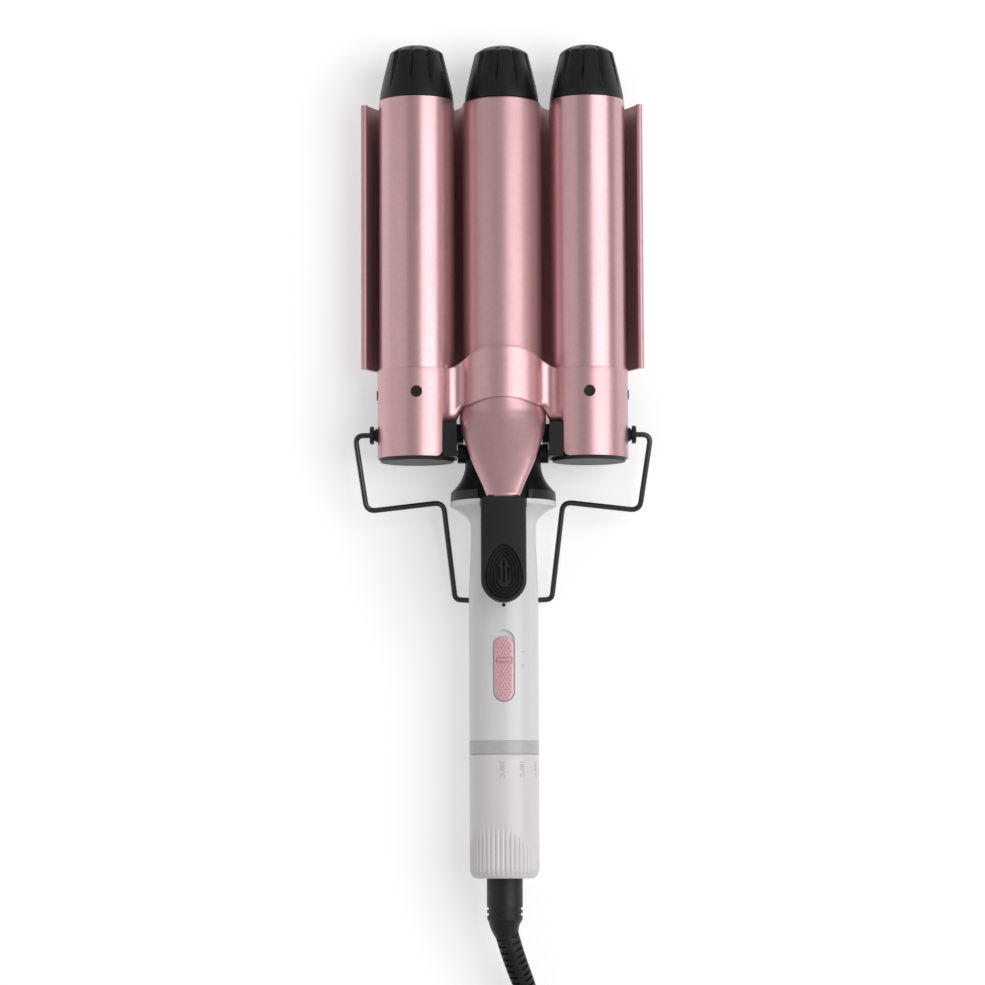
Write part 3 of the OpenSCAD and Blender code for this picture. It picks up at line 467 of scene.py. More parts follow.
def close_under(bm, level, draw_in=1.0):
    """Turns a sheet into a closed plate: its rim goes down to a level, and one face fills it there."""
    grown = bmesh.ops.extrude_edge_only(bm, edges=[e for e in bm.edges if e.is_boundary])["geom"]
    lower = grown_verts(grown)
    for v in lower:
        v.co.z = level
        v.co.x *= draw_in
    bmesh.ops.edgeloop_fill(bm, edges=grown_edges(grown, lower))
    face_out(bm)


# ---------- cord ----------

CORD_EXIT = (11.8, -229, 11.2)
CORD_ROUTE = [
    CORD_EXIT, (12.6, -231, 10.35), (13.2, -233, 9.55), (13.7, -235.5, 8.7), (14.2, -238, 7.9),
    (14.7, -241, 7), (15.1, -244, 6.2), (15.4, -247, 5.5), (15.7, -250, 4.9), (15.8, -253, 4.4),
    (15.9, -257, 4), (16, -261, 3.9), (16, -265, 3.8), (16, -269, 3.8), (16, -273.5, 3.8), (16, -278, 3.8),
]
RELIEF_ROUTE = [
    (0, -192.85, 22.7), (0, -194.35, 22.7), (0.4, -197, 22.6), (1.5, -201, 22.1), (2.7, -205, 21.2),
    (4, -209, 19.9), (5.4, -213, 18.3), (6.9, -217, 16.5), (8.5, -221, 14.7), (10.2, -225, 12.9),
    CORD_EXIT,
]
COIL_CENTRE = (-32, -284)
COIL_RADIUS = 48
COIL_PITCH = 6.6
COIL_RINGS = 24
INNER_TURN = COIL_RADIUS - COIL_PITCH * 3.5
LOW_TURNS = 84
CLIMB_STEPS = 12
HIGH_TURNS = 81
LOW_Z = 3.8
LAYER = 6.6
TAIL_STEPS = [(0, 0), (-5.5, 5.5), (-11.5, 10.6), (-18, 15), (-25, 18.7)]
PLUG_ANGLE = math.radians(152.1403)


def coil_place(radius, k, z):
    angle = math.tau * k / COIL_RINGS
    return Vector((COIL_CENTRE[0] + radius * math.cos(angle), COIL_CENTRE[1] - radius * math.sin(angle), z))


def cord_places():
    """The free cord, the two layers of its coil and its tail, in millimetres."""
    coil = [coil_place(COIL_RADIUS - COIL_PITCH * k / COIL_RINGS, k, LOW_Z) for k in range(LOW_TURNS)]
    for k in range(CLIMB_STEPS):
        rise = LAYER * (1 - math.cos(math.pi * k / CLIMB_STEPS)) / 2
        radius = INNER_TURN - COIL_PITCH * min(k, CLIMB_STEPS - k) / COIL_RINGS
        coil.append(coil_place(radius, LOW_TURNS + k, LOW_Z + rise))
    for k in range(HIGH_TURNS + 1):
        radius = INNER_TURN + COIL_PITCH * k / COIL_RINGS
        coil.append(coil_place(radius, LOW_TURNS + CLIMB_STEPS + k, LOW_Z + LAYER))
    way_out = Vector((-math.cos(math.pi / 4), math.sin(math.pi / 4), 0))
    coil_out = coil[-1] + 6 * way_out
    tail = [coil_out + Vector((x, y, 0)) for x, y in TAIL_STEPS]
    return [Vector(p) for p in CORD_ROUTE] + coil + tail


PLUG_START = cord_places()[-1]


def at_plug():
    """Matrix from a plug drawn along +Y at the origin to its place on the table."""
    return Matrix.Translation(PLUG_START) @ Matrix.Rotation(PLUG_ANGLE - math.pi / 2, 4, "Z")


class WAVER_OT_cord(bpy.types.Operator):
    """Makes the free cord, its coil and its tail as one smooth tube"""
    bl_idname = "waver.cord"
    bl_label = "Cord"

    def execute(self, context):
        radius = sizes().cord_radius
        places = cord_places()
        curve = bpy.data.curves.new("cord", "CURVE")
        curve.dimensions = "3D"
        curve.bevel_depth, curve.bevel_resolution = radius, 5
        curve.use_fill_caps = True
        line = curve.splines.new("POLY")
        line.points.add(len(places) - 1)
        for point, place in zip(line.points, places):
            point.co = (*(place * MM), 1)
        line.use_smooth = True
        cord = placed("cord", curve)
        curve.materials.append(finish("cord_rubber", tones().cord, 0.48, (0.15, 500), (0.06, 0.08, 300),
                                      (2200, 0.02, 0.4), specular=0.3))
        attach(cord, "cord")
        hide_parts("free_cord", "cord_coil", "cord_tail")
        distances(places)[-1] * MM
        return {"FINISHED"}


class WAVER_OT_plug(bpy.types.Operator):
    """Makes the moulded case of the two pin plug"""
    bl_idname = "waver.plug"
    bl_label = "Plug"

    # Station along the plug, half width, half height and squareness of its section
    SECTIONS = [
        (0.0, 4.0, 4.0, 2.0), (2.4, 4.3, 4.3, 2.0), (5.0, 6.2, 5.4, 2.2), (8.5, 10.0, 7.4, 2.5),
        (12.5, 14.6, 9.3, 2.9), (16.5, 17.2, 10.2, 3.2), (21, 17.9, 10.4, 3.4), (28, 17.9, 10.4, 3.4),
        (33.5, 17.6, 10.2, 3.4), (35.4, 16.8, 9.6, 3.3), (36, 15.6, 8.8, 3.2),
    ]
    SIDES = 72

    def ring(self, bm, section):
        along_it, half_x, half_z, power = section
        made = circle(bm, self.SIDES)
        for v in made:
            x, z = v.co.x, v.co.y
            v.co = (
                half_x * math.copysign(abs(x) ** (2 / power), x), along_it,
                half_z * math.copysign(abs(z) ** (2 / power), z),
            )
        return edges_at(made)

    def execute(self, context):
        bm = bmesh.new()
        skin(bm, [self.ring(bm, s) for s in self.SECTIONS])
        bmesh.ops.transform(bm, matrix=at_plug(), verts=bm.verts)
        plug = new_object(bm, "plug_case")
        drums = [(2.26, 28, 40, (side * 9.5, 0, 0), "Y", 40) for side in (-1, 1)]
        drums += [(1.0, -7, 7, (side * 18.4, 20 + 3.2 * k, 0), "Z", 20) for side in (-1, 1) for k in range(4)]
        carve(plug, [
            lambda b, d=d: bmesh.ops.transform(b, matrix=at_plug(), verts=drum(b, *d)) for d in drums
        ])
        dress(plug, black_plastic("plug_rubber", tones().cord, 0.5, 0.03), "cord", ("plug_body",))
        return {"FINISHED"}


class WAVER_OT_relief(bpy.types.Operator):
    """Makes the swivel block behind the dial and the ribbed sleeve that bends down to the cord"""
    bl_idname = "waver.relief"
    bl_label = "Strain relief"

    def swivel(self):
        """The round block with a raised spine above and below and grip notches at its sides."""
        rear = DIAL_REAR_Y
        made = shaped("swivel_block", lambda b: lathe(b, [
            (0.0, rear + 9.2), (8.9, rear + 9.2), (8.9, rear + 5.4), (7.5, rear + 5.4), (7.5, rear - 1.0),
            (7.5, rear - 9.4), (7.5, rear - 13), (7.45, rear - 16.3), (7.3, rear - 17.3), (7.05, rear - 17.55),
            (0.0, rear - 17.55),
        ], 120))
        notches = [
            ((side * 1.5, rear - back - 0.55, AXIS_Z - 10), (side * 9, rear - back + 0.55, AXIS_Z + 10))
            for back in (12.6, 15.0) for side in (-1, 1)
        ]
        carve(made, [lambda b, n=n: block(b, *n) for n in notches])
        # The notches leave a solid core
        core = [(0.0, rear - 9.8), (6.85, rear - 9.8), (6.8, rear - 17.3), (0.0, rear - 17.3)]
        return made, shaped("swivel_core", lambda b: lathe(b, core, 96))

    def sleeve(self):
        """The bent sleeve: alternate notches at its sides leave ribs joined by a spine above and below."""
        places = eased_route(RELIEF_ROUTE, 10)
        frames = ring_frames(places)
        travelled = distances(places)
        whole = travelled[-1]
        bm = bmesh.new()
        rings = []
        for at, deep in self.stations(whole):
            i = min(max(k for k, t in enumerate(travelled) if t <= at + 1e-6), len(places) - 2)
            share = (at - travelled[i]) / (travelled[i + 1] - travelled[i])
            here = frames[i].lerp(frames[i + 1], share)
            here.translation = places[i].lerp(places[i + 1], share)
            radius = 4.95 - 0.3 * at / whole - 0.65 * between(at / whole, 0.6, 1.0)
            radius += 2.1 * max(0.0, 1 - at / 6.5) ** 1.1
            made = circle(bm, 48)
            for v in made:
                side = abs(v.co.x)
                v.co *= radius - deep * between(side, 0.3, 0.42) * (1 - between(side, 0.93, 0.98))
            bmesh.ops.transform(bm, matrix=here, verts=made)
            rings.append(edges_at(made))
        skin(bm, rings)
        return new_object(bm, "relief_sleeve")

    def stations(self, whole):
        """Places along the sleeve and the depth of its notches there."""
        out = [(0.0, 0.0), (0.8, 0.0), (1.8, 0.0), (2.8, 0.0), (3.8, 0.0), (5.0, 0.0)]
        at, pitch, wide, wall = 6.2, 2.75, 1.15, 0.14
        while at + pitch < whole - 1.6:
            out += [(at, 0.0), (at + wall, 0.95), (at + wide - wall, 0.95), (at + wide, 0.0)]
            at += pitch
        return out + [(whole - 1.2, 0.0), (whole - 0.3, 0.0), (whole, 0.35)]

    def execute(self, context):
        rubber = black_plastic("relief_rubber", tones().cord, 0.46, 0.02)
        made, core = self.swivel()
        for piece, *replaced in ((made, "cord_swivel"), (core,), (self.sleeve(), "cord_relief")):
            dress(piece, rubber, "cord", replaced)
        return {"FINISHED"}


# ---------- tip caps ----------

class WAVER_OT_tip_caps(bpy.types.Operator):
    """Makes the three black tip caps with their tapering grooves"""
    bl_idname = "waver.tip_caps"
    bl_label = "Tip caps"

    DOME_R = 23.0
    ROUND_R = 1.3

    def groove(self, angle, share):
        """Depth of the grooves at an angle round the cap and a share of its length."""
        step = math.tau / sizes().grooves
        place = abs(((angle + 0.5 * step) % step) - 0.5 * step)
        grown = max(0.0, (share - 0.1) / 0.9)
        reach = 0.15 * grown ** 0.8
        if reach <= 0 or place >= reach:
            return 0.0
        return 1.0 * between(share, 0.08, 0.5) * (1 - (place / reach) ** 1.25)

    def cap(self, name, x, z, tenon_r):
        long, tip, base = mm("cap_length"), mm("cap_tip_radius"), mm("barrel_radius") - 0.3

        def drop(r):
            return self.DOME_R - math.sqrt(self.DOME_R ** 2 - r * r)

        shoulder = long - drop(tip) - self.ROUND_R
        outline = [(0.0, -6), (tenon_r - 1.0, -6), (tenon_r - 1.0, 0), (base - 0.4, 0), (base, 0.35),
                   (base - 0.08, 1.2)]
        outline += [(base - 0.2 + (tip - base + 0.2) * t ** 1.12, 2.5 + (shoulder - 2.5) * t) for t in shares(18)]
        for t in shares(6, 1):
            a = math.radians(62 * t)
            outline.append((tip - self.ROUND_R * (1 - math.cos(a)), shoulder + self.ROUND_R * math.sin(a)))
        rim, rim_y = outline[-1]
        gap = rim_y - (long - drop(rim))
        outline += [(rim * (1 - t), long - drop(rim * (1 - t)) + gap * (1 - t) ** 6) for t in shares(12, 1)]
        bm = bmesh.new()
        lathe(bm, [(r, BARREL_TIP_Y + y) for r, y in outline], 320, x, z)
        for v in bm.verts:
            y = v.co.y - BARREL_TIP_Y
            dx, dz = v.co.x - x, v.co.z - z
            r = math.hypot(dx, dz)
            if y < 2.0 or r < 1:
                continue
            deep = self.groove(math.atan2(dx, dz) + math.radians(9), y / long) * between(r, tip - 2.8, tip - 1.0)
            if deep:
                v.co.x -= dx / r * deep
                v.co.z -= dz / r * deep
        return new_object(bm, name)

    def execute(self, context):
        plastic = black_plastic("cap_plastic", roughness=0.36, depth=0.015)
        bore = mm("barrel_radius") - 1.2
        for name, x, z, tenon, body in (
            ("left_tip_cap", -PITCH, AXIS_Z, bore, "clamp"), ("middle_tip_cap", 0, RIDGE_Z, 13.3, "handle_body"),
            ("right_tip_cap", PITCH, AXIS_Z, bore, "clamp"),
        ):
            dress(self.cap(name + "_grooved", x, z, tenon), plastic, body, (name,), sharp=28)
        return {"FINISHED"}


# ---------- clamp cover ----------

def arc_points(centre, radius, start, end, count):
    """Points of an arc in X and Z; angles in degrees from +X, towards +Z."""
    turns = [math.radians(start + (end - start) * t) for t in shares(count)]
    return [(centre[0] + radius * math.cos(a), centre[1] + radius * math.sin(a)) for a in turns]


FILLET_R = 5.0
COVER_CUT_X = 25.4
CORNER_R = 2.6
LIP_Y = 15.3
SCREW_SEAT_Z = 38.05
ARCH_Y = 15.45
FILLET_CENTRE = (19.39, 36.28)


LEVER_FRONT = (0, -17.45, 50.0)
LEVER_SLOPE = math.radians(8.4)


def on_lever():
    """Matrix from a lever drawn flat at the origin, its front edge at y = 0, to its place."""
    return Matrix.Translation(LEVER_FRONT) @ Matrix.Rotation(-LEVER_SLOPE, 4, "X")


def cover_profile():
    """Right half of the cover's cross section, from the crown of the arch out to the parting edge."""
    arch_r, house_r = mm("arch_radius"), mm("housing_radius")
    cx, cz = FILLET_CENTRE
    arch_end = math.degrees(math.atan2(cz - RIDGE_Z, cx))
    house_start = math.degrees(math.atan2(cz - AXIS_Z, cx - PITCH))
    points = arc_points((0, RIDGE_Z), arch_r, 90, arch_end, 22)
    points += arc_points((cx, cz), FILLET_R, arch_end + 180, house_start + 180, 12)[1:]
    # The columns stand close together where the rear edge steps back round its corner
    cut_at = math.degrees(math.acos((COVER_CUT_X - PITCH) / house_r))
    round_at = math.degrees(math.acos((COVER_CUT_X + CORNER_R - PITCH) / house_r))
    for start, end, count in (
        (house_start, cut_at + 0.1, 6), (cut_at + 0.1, cut_at - 0.1, 1),
        (cut_at - 0.1, round_at, 12), (round_at, 0, 34),
    ):
        points += arc_points((PITCH, AXIS_Z), house_r, start, end, count)[1:]
    return points


def front_edge(x):
    """Front edge of the cover, which bulges forwards over the ridge."""
    share = min(1.0, abs(x) / 23.6)
    return PARTING_Y + 8.7 * (1 + math.cos(math.pi * share ** 1.6)) / 2


def rear_edge(x):
    """Rear edge of the cover: an arch at the middle, a gusset beside it and the housings' rear faces."""
    side = abs(x)
    arch = ARCH_Y + 9.5 * math.sqrt(1 - (min(side, 16.5) / 19.8) ** 2)
    if side < COVER_CUT_X:
        return arch + (LIP_Y - arch) * between(side, 16.5, 20.5)
    inward = COVER_CUT_X + CORNER_R - side
    if inward > 0:
        return HOUSING_REAR_Y + CORNER_R - math.sqrt(max(0.0, CORNER_R ** 2 - inward ** 2))
    return HOUSING_REAR_Y


class WAVER_OT_clamp_cover(bpy.types.Operator):
    """Makes the rose cover over the two housings, with the arch and the funnel to the thumb lever"""
    bl_idname = "waver.clamp_cover"
    bl_label = "Clamp cover"

    ROWS = 34
    # Station, half width, height of the rim and height of the crown along the funnel
    FUNNEL = [
        (28.95, 18.0, 21.2, 39.1), (24.0, 18.0, 22.4, 39.15), (19.5, 18.1, 24.8, 39.55), (16.0, 18.2, 27.8, 40.15),
        (12.0, 17.8, 31.0, 41.1), (7.5, 16.5, 34.4, 42.35), (3.0, 15.0, 37.3, 43.65), (-1.0, 13.6, 39.5, 44.8),
        (-5.0, 12.0, 41.4, 46.0), (-9.1, 10.2, 43.2, 47.3), (-13.5, 8.4, 44.9, 48.6), (-17.3, 7.0, 46.3, 49.7),
    ]

    def shell(self):
        """The curved sheet between the front and rear edges, thickened inwards."""
        half = cover_profile()
        points = [(-x, z) for x, z in reversed(half[1:])] + half
        columns = len(points) - 1
        bm = bmesh.new()

        def place(u, v):
            x, z = points[round(u * columns)]
            front, rear = front_edge(x), rear_edge(x)
            return Vector((x, rear + (front - rear) * v, z))

        sheet_of(bm, columns, self.ROWS, place)
        for v in bm.verts:
            self.roll_edges(v)
        face_up(bm)
        return new_object(bm, "clamp_cover_shell")

    def roll_edges(self, v):
        """Turns the valley's rear down into a soft lip and lowers the front edge a little."""
        x, y = v.co.xy
        side = abs(x)
        lip = between(side, 13.5, 18.5) * (1 - between(side, 24.2, 25.3))
        near = max(0.0, 1 - (y - rear_edge(x)) / 4.6)
        v.co.z -= lip * 3.6 * (1 - math.sqrt(max(0.0, 1 - near * near)))
        front = max(0.0, 1 - (front_edge(x) - y) / 0.6)
        v.co.z -= 0.12 * front * front

    def funnel(self):
        """The hollow nose that narrows from the arch back to the lever."""
        bm = bmesh.new()
        last = len(self.FUNNEL) - 1

        def place(u, v):
            t = v * last
            i = min(int(t), last - 1)
            y, wide, low, top = (a + (b - a) * (t - i) for a, b in zip(*self.FUNNEL[i:i + 2]))
            a = math.pi * (1 - u)
            return Vector((wide * math.cos(a), y, low + (top - low) * math.sin(a)))

        sheet_of(bm, 40, 4 * last, place)
        face_up(bm)
        return new_object(bm, "clamp_cover_funnel")

    def thicken(self, piece, wall):
        solid = piece.modifiers.new("wall", "SOLIDIFY")
        solid.thickness, solid.offset, solid.use_even_offset = wall * MM, -1, True

    def execute(self, context):
        rose = rose_paint("rose_cover", 1.0, 0.36)
        shell = self.shell()
        self.thicken(shell, 2.0)
        drums = []
        for side, ends in ((-1, (-60, -34)), (1, (34, 60))):
            drums.append((2.5, SCREW_SEAT_Z, 44, (side * PITCH, SCREW_Y, 0), "Z", 48))
            drums.append((2.2, *ends, (0, STAND_Y, AXIS_Z), "X", 32))
        carve(shell, [lambda b, d=d: drum(b, *d) for d in drums])
        dress(shell, rose, "clamp", ("clamp_cover",), sharp=40)
        funnel = self.funnel()
        self.thicken(funnel, 1.2)
        dress(funnel, rose, "clamp", sharp=40)
        tongue = shaped("clamp_cover_tongue", lambda b: bmesh.ops.transform(
            b, matrix=on_lever(), verts=block(b, (-4, -8, -4.6), (4, 2.6, -0.9))))
        dress(tongue, rose, "clamp", edge=0.4)
        return {"FINISHED"}


# ---------- thumb lever ----------

class WAVER_OT_thumb_lever(bpy.types.Operator):
    """Makes the thumb lever with its nested teardrop grooves"""
    bl_idname = "waver.thumb_lever"
    bl_label = "Thumb lever"

    GROOVES = 4
    GROOVE_DEPTH = 0.8

    def half_width(self, y, wide, long):
        """Half width of the outline at a distance y behind the front edge."""
        front = 2.4
        if y < front:
            return wide - front + math.sqrt(max(0.0, front * front - (front - y) ** 2))
        return math.sqrt(max(0.0, wide * wide - max(0.0, y - long + wide) ** 2))

    def rank(self, x, y):
        """Which of the nested teardrops passes through a place: 0 is the outermost, -1 is outside them all."""
        def size(k):
            wide, up, down = 7.35 - 1.33 * k, 13.5 - 1.5 * k, 8.5 - 1.3 * k
            if y >= 0:
                return math.hypot(x / wide, y / down)
            return ((abs(x) / wide) ** 1.85 + (-y / up) ** 1.85) ** (1 / 1.85)

        low, high = -1.0, 5.0
        if size(low) > 1:
            return low
        for _ in range(14):
            middle = (low + high) / 2
            low, high = (middle, high) if size(middle) < 1 else (low, middle)
        return low

    def groove(self, x, y):
        """Depth of the grooves at a place measured from the teardrops' centre, y towards the rear."""
        rank = self.rank(x, y)
        deep = 0.0
        nearest = round(rank)
        if 0 <= nearest < self.GROOVES:
            off = abs(rank - nearest) / 0.4
            deep = max(0.0, 1 - off * off)
        for k, start, end in ((-1, -4.2, 1.2), (0, -7.6, 2.2), (1, -4.2, 1.2)):
            if start < y < end and rank > 2.7:
                off = abs(x - 1.9 * k) / 0.45
                deep = max(deep, 1 - off * off)
        return self.GROOVE_DEPTH * max(0.0, deep)

    def execute(self, context):
        wide, long = mm("lever_width") / 2, mm("lever_length") / math.cos(LEVER_SLOPE)
        thick, rim, centre_y = 3.2, 1.0, 34.6
        bm = bmesh.new()

        def place(u, v):
            y = long * v
            half = max(self.half_width(y, wide, long), 0.02)
            x = half * (2 * u - 1)
            edge = min(half - abs(x), y, long - y)
            fall = rim * (1 - math.sqrt(max(0.0, 1 - (1 - min(1.0, edge / rim)) ** 2)))
            crown = 0.5 * (1 - (x / wide) ** 2)
            return Vector((x, -y, crown - fall - 0.5 - self.groove(x, y - centre_y)))

        sheet_of(bm, 160, 330, place)
        close_under(bm, -thick, 0.95)
        bmesh.ops.transform(bm, matrix=on_lever(), verts=bm.verts)
        lever = new_object(bm, "thumb_lever_grooved")
        plastic = black_plastic("lever_plastic", tones().lever, 0.46, 0.03)
        dress(lever, plastic, "clamp", ("thumb_lever",), sharp=50)
        return {"FINISHED"}


# ---------- neck and handle ----------

def neck_outline():
    """Outline of the neck, which flares back to the guard."""
    points = [(0.0, 8.45), (14.9, 8.45), (15.9, 7.45)]
    points += [(15.9 + 6.1 * t ** 2.3, -0.95 - 13.1 * t) for t in shares(40)]
    return points + [(22.1, -15.3), (22.18, -16.8), (22.2, GUARD_Y + 0.25), (22.05, GUARD_Y), (0.0, GUARD_Y)]


def handle_outline():
    """Outline of the handle: a lip at the guard, a waist behind it and a gentle swell."""
    points = [(0.0, GUARD_Y - 0.02), (22.0, GUARD_Y - 0.02), (22.22, GUARD_Y - 0.14), (22.3, GUARD_Y - 0.5),
              (22.32, GUARD_Y - 1.4), (22.2, GUARD_Y - 1.9), (21.9, GUARD_Y - 2.3)]
    points += [(13.7 + 8.0 * (1 - t) ** 2.1, GUARD_Y - 2.4 - 8.3 * t) for t in shares(40)]
    points += [(14.6 - 0.45 * (1 + math.cos(math.pi * t)), GUARD_Y - 10.7 - 34.3 * t) for t in shares(24, 1)]
    return points + [(14.6, -90), (14.6, HANDLE_REAR_Y + 0.2), (14.45, HANDLE_REAR_Y), (0.0, HANDLE_REAR_Y)]


class WAVER_OT_handle(bpy.types.Operator):
    """Makes the black neck and the two white handle shells with the flared guard"""
    bl_idname = "waver.handle"
    bl_label = "Neck and handle"

    CHANNEL_Z = 38.9
    BORE_R = 11.6
    REAR_BORE_R = 12.6

    def channel(self, bm, side_gap):
        """The trough under the lever, rounded along its floor."""
        half, floor = mm("lever_width") / 2 + side_gap, self.CHANNEL_Z
        made = block(bm, (-half, GUARD_Y - 30, floor), (half, GUARD_Y + 15, floor + 30))
        edges = [e for e in edges_at(made) if all(abs(v.co.z - floor) < 0.1 for v in e.verts)
                 and abs(e.verts[0].co.x - e.verts[1].co.x) < 0.1]
        bmesh.ops.bevel(bm, geom=edges, offset=1.2, affect="EDGES", segments=5, profile=0.5, material=-1)

    def slot(self, bm, wider, longer, low, high):
        stadium(bm, mm("slider_width") + wider, mm("slider_length") + longer, low, high, SLOT_Y)

    def shell(self, name, upper, white):
        """Half of the hollow handle, with its openings."""
        made = shaped(name, lambda b: lathe(b, handle_outline(), 160))
        low, high = (-40, AXIS_Z + 0.06) if upper else (AXIS_Z - 0.06, 80)
        cutters = [
            lambda b: block(b, (-60, -200, low), (60, 60, high)),
            lambda b: drum(b, self.BORE_R, GUARD_Y - 40, GUARD_Y + 1, (0, 0, AXIS_Z), "Y", 96),
            lambda b: drum(b, self.REAR_BORE_R, HANDLE_REAR_Y - 1, GUARD_Y - 38, (0, 0, AXIS_Z), "Y", 96),
        ]
        cutters += [
            lambda b: self.channel(b, 0.4),
            lambda b: self.slot(b, 0.6, 3.1, 30.7, 42.7),
            lambda b: drum(b, 0.75, 30, 42, (0, LAMP_Y, 0), "Z", 32),
        ] if upper else [lambda b: drum(b, 2.6, 7.0, 13.1, (0, HANDLE_SCREW_Y, 0), "Z", 48)]
        carve(made, cutters)
        dress(made, white, "handle_body", (name + "_shell",), sharp=30)

    def execute(self, context):
        neck = shaped("neck_flare", lambda b: lathe(b, neck_outline(), 160))
        carve(neck, [
            lambda b: self.channel(b, 1.2),
            lambda b: drum(b, 1.55, -30, 30, (0, HINGE_Y, AXIS_Z), "X", 48),
            lambda b: block(b, (-6.5, HINGE_Y - 6.5, AXIS_Z - 6.5), (6.5, HINGE_Y + 6.5, 62)),
        ])
        dark = black_plastic("neck_plastic", roughness=0.38)
        dress(neck, dark, "handle_body", ("neck",), sharp=32)
        lugs = bmesh.new()
        for ends in ((-19.1, -6.6), (6.6, 19.1)):
            drum(lugs, 4.0, *ends, (0, HINGE_Y, AXIS_Z), "X", 48)
        dress(new_object(lugs, "hinge_lugs"), dark, "handle_body")
        white = white_plastic("handle_white", tones().white)
        self.shell("handle_upper", True, white)
        floor = shaped("slot_floor", lambda b: self.slot(b, 1.4, 3.9, 34.4, 35.8))
        carve(floor, [lambda b: stadium(b, 5.0, 18.0, 30, 40, SLOT_Y)])
        dress(floor, white, "handle_body")
        self.shell("handle_lower", False, white)
        return {"FINISHED"}


# ---------- slide button ----------

class WAVER_OT_slide_button(bpy.types.Operator):
    """Makes the rose slide button with its raised dots and crossbar"""
    bl_idname = "waver.slide_button"
    bl_label = "Slide button"

    DOT_PITCH = 1.4
    DOT_R = 0.56
    DOT_RISE = 0.42

    def dots(self, x, y):
        """Height of the staggered dots at a place, y from the middle of the button."""
        row_step = self.DOT_PITCH * 0.866
        row = round(y / row_step)
        shift = 0.5 * self.DOT_PITCH if row % 2 else 0.0
        column = round((x - shift) / self.DOT_PITCH)
        off = math.hypot(x - shift - column * self.DOT_PITCH, y - row * row_step)
        return self.DOT_RISE * max(0.0, 1 - (off / self.DOT_R) ** 2)

    def execute(self, context):
        wide, long = mm("slider_width") / 2, mm("slider_length")
        middle, bar = SLOT_Y - 1.25, SLOT_Y + 2.35
        top_r = mm("handle_radius") + 0.35
        bm = bmesh.new()

        def place(u, v):
            y = long * (v - 0.5)
            end = abs(y) - (long / 2 - wide)
            half = max(0.02, math.sqrt(max(0.0, wide * wide - end * end)) if end > 0 else wide)
            x = half * (2 * u - 1)
            edge = min(half - abs(x), long / 2 - abs(y))
            fall = 0.5 * (1 - math.sqrt(max(0.0, 1 - (1 - min(1.0, edge / 0.5)) ** 2)))
            inside = between(edge, 0.8, 1.3)
            off_bar = between(abs(y + middle - bar), 1.2, 1.6)
            well = 0.55 * (1 - between(abs(y + middle - bar), 1.0, 1.35)) * between(half - abs(x), 0.7, 1.1)
            z = AXIS_Z + math.sqrt(top_r * top_r - x * x) - fall - well + self.dots(x, y) * inside * off_bar
            return Vector((x, y + middle, z))

        sheet_of(bm, 84, 270, place)
        close_under(bm, 36.0)
        stadium(bm, 4.0, 15.0, 31.3, 36.2, middle)
        button = new_object(bm, "slide_button")
        bm = bmesh.new()
        block(bm, (-wide * 0.7, bar - 0.5, 36.6), (wide * 0.7, bar + 0.5, 38.5))
        bmesh.ops.bevel(bm, geom=list(bm.edges), offset=0.3, affect="EDGES", segments=3, profile=0.5, material=-1)
        ridge = new_object(bm, "slide_button_bar")
        rose = finish("slider_plastic", tones().slider, 0.36, (0.05, 900), None, (2000, 0.01, 0.3), metallic=0.15,
                      coat=0.2)
        dress(button, rose, "switch", ("power_slider",), sharp=50)
        dress(ridge, rose, "switch")
        return {"FINISHED"}


# ---------- dial ----------

def flute_start(angle):
    """Station where the flutes begin at an angle from the top; the line waves round the dial."""
    return -157.0 + 3.5 * math.cos(2 * (angle + math.radians(20)))


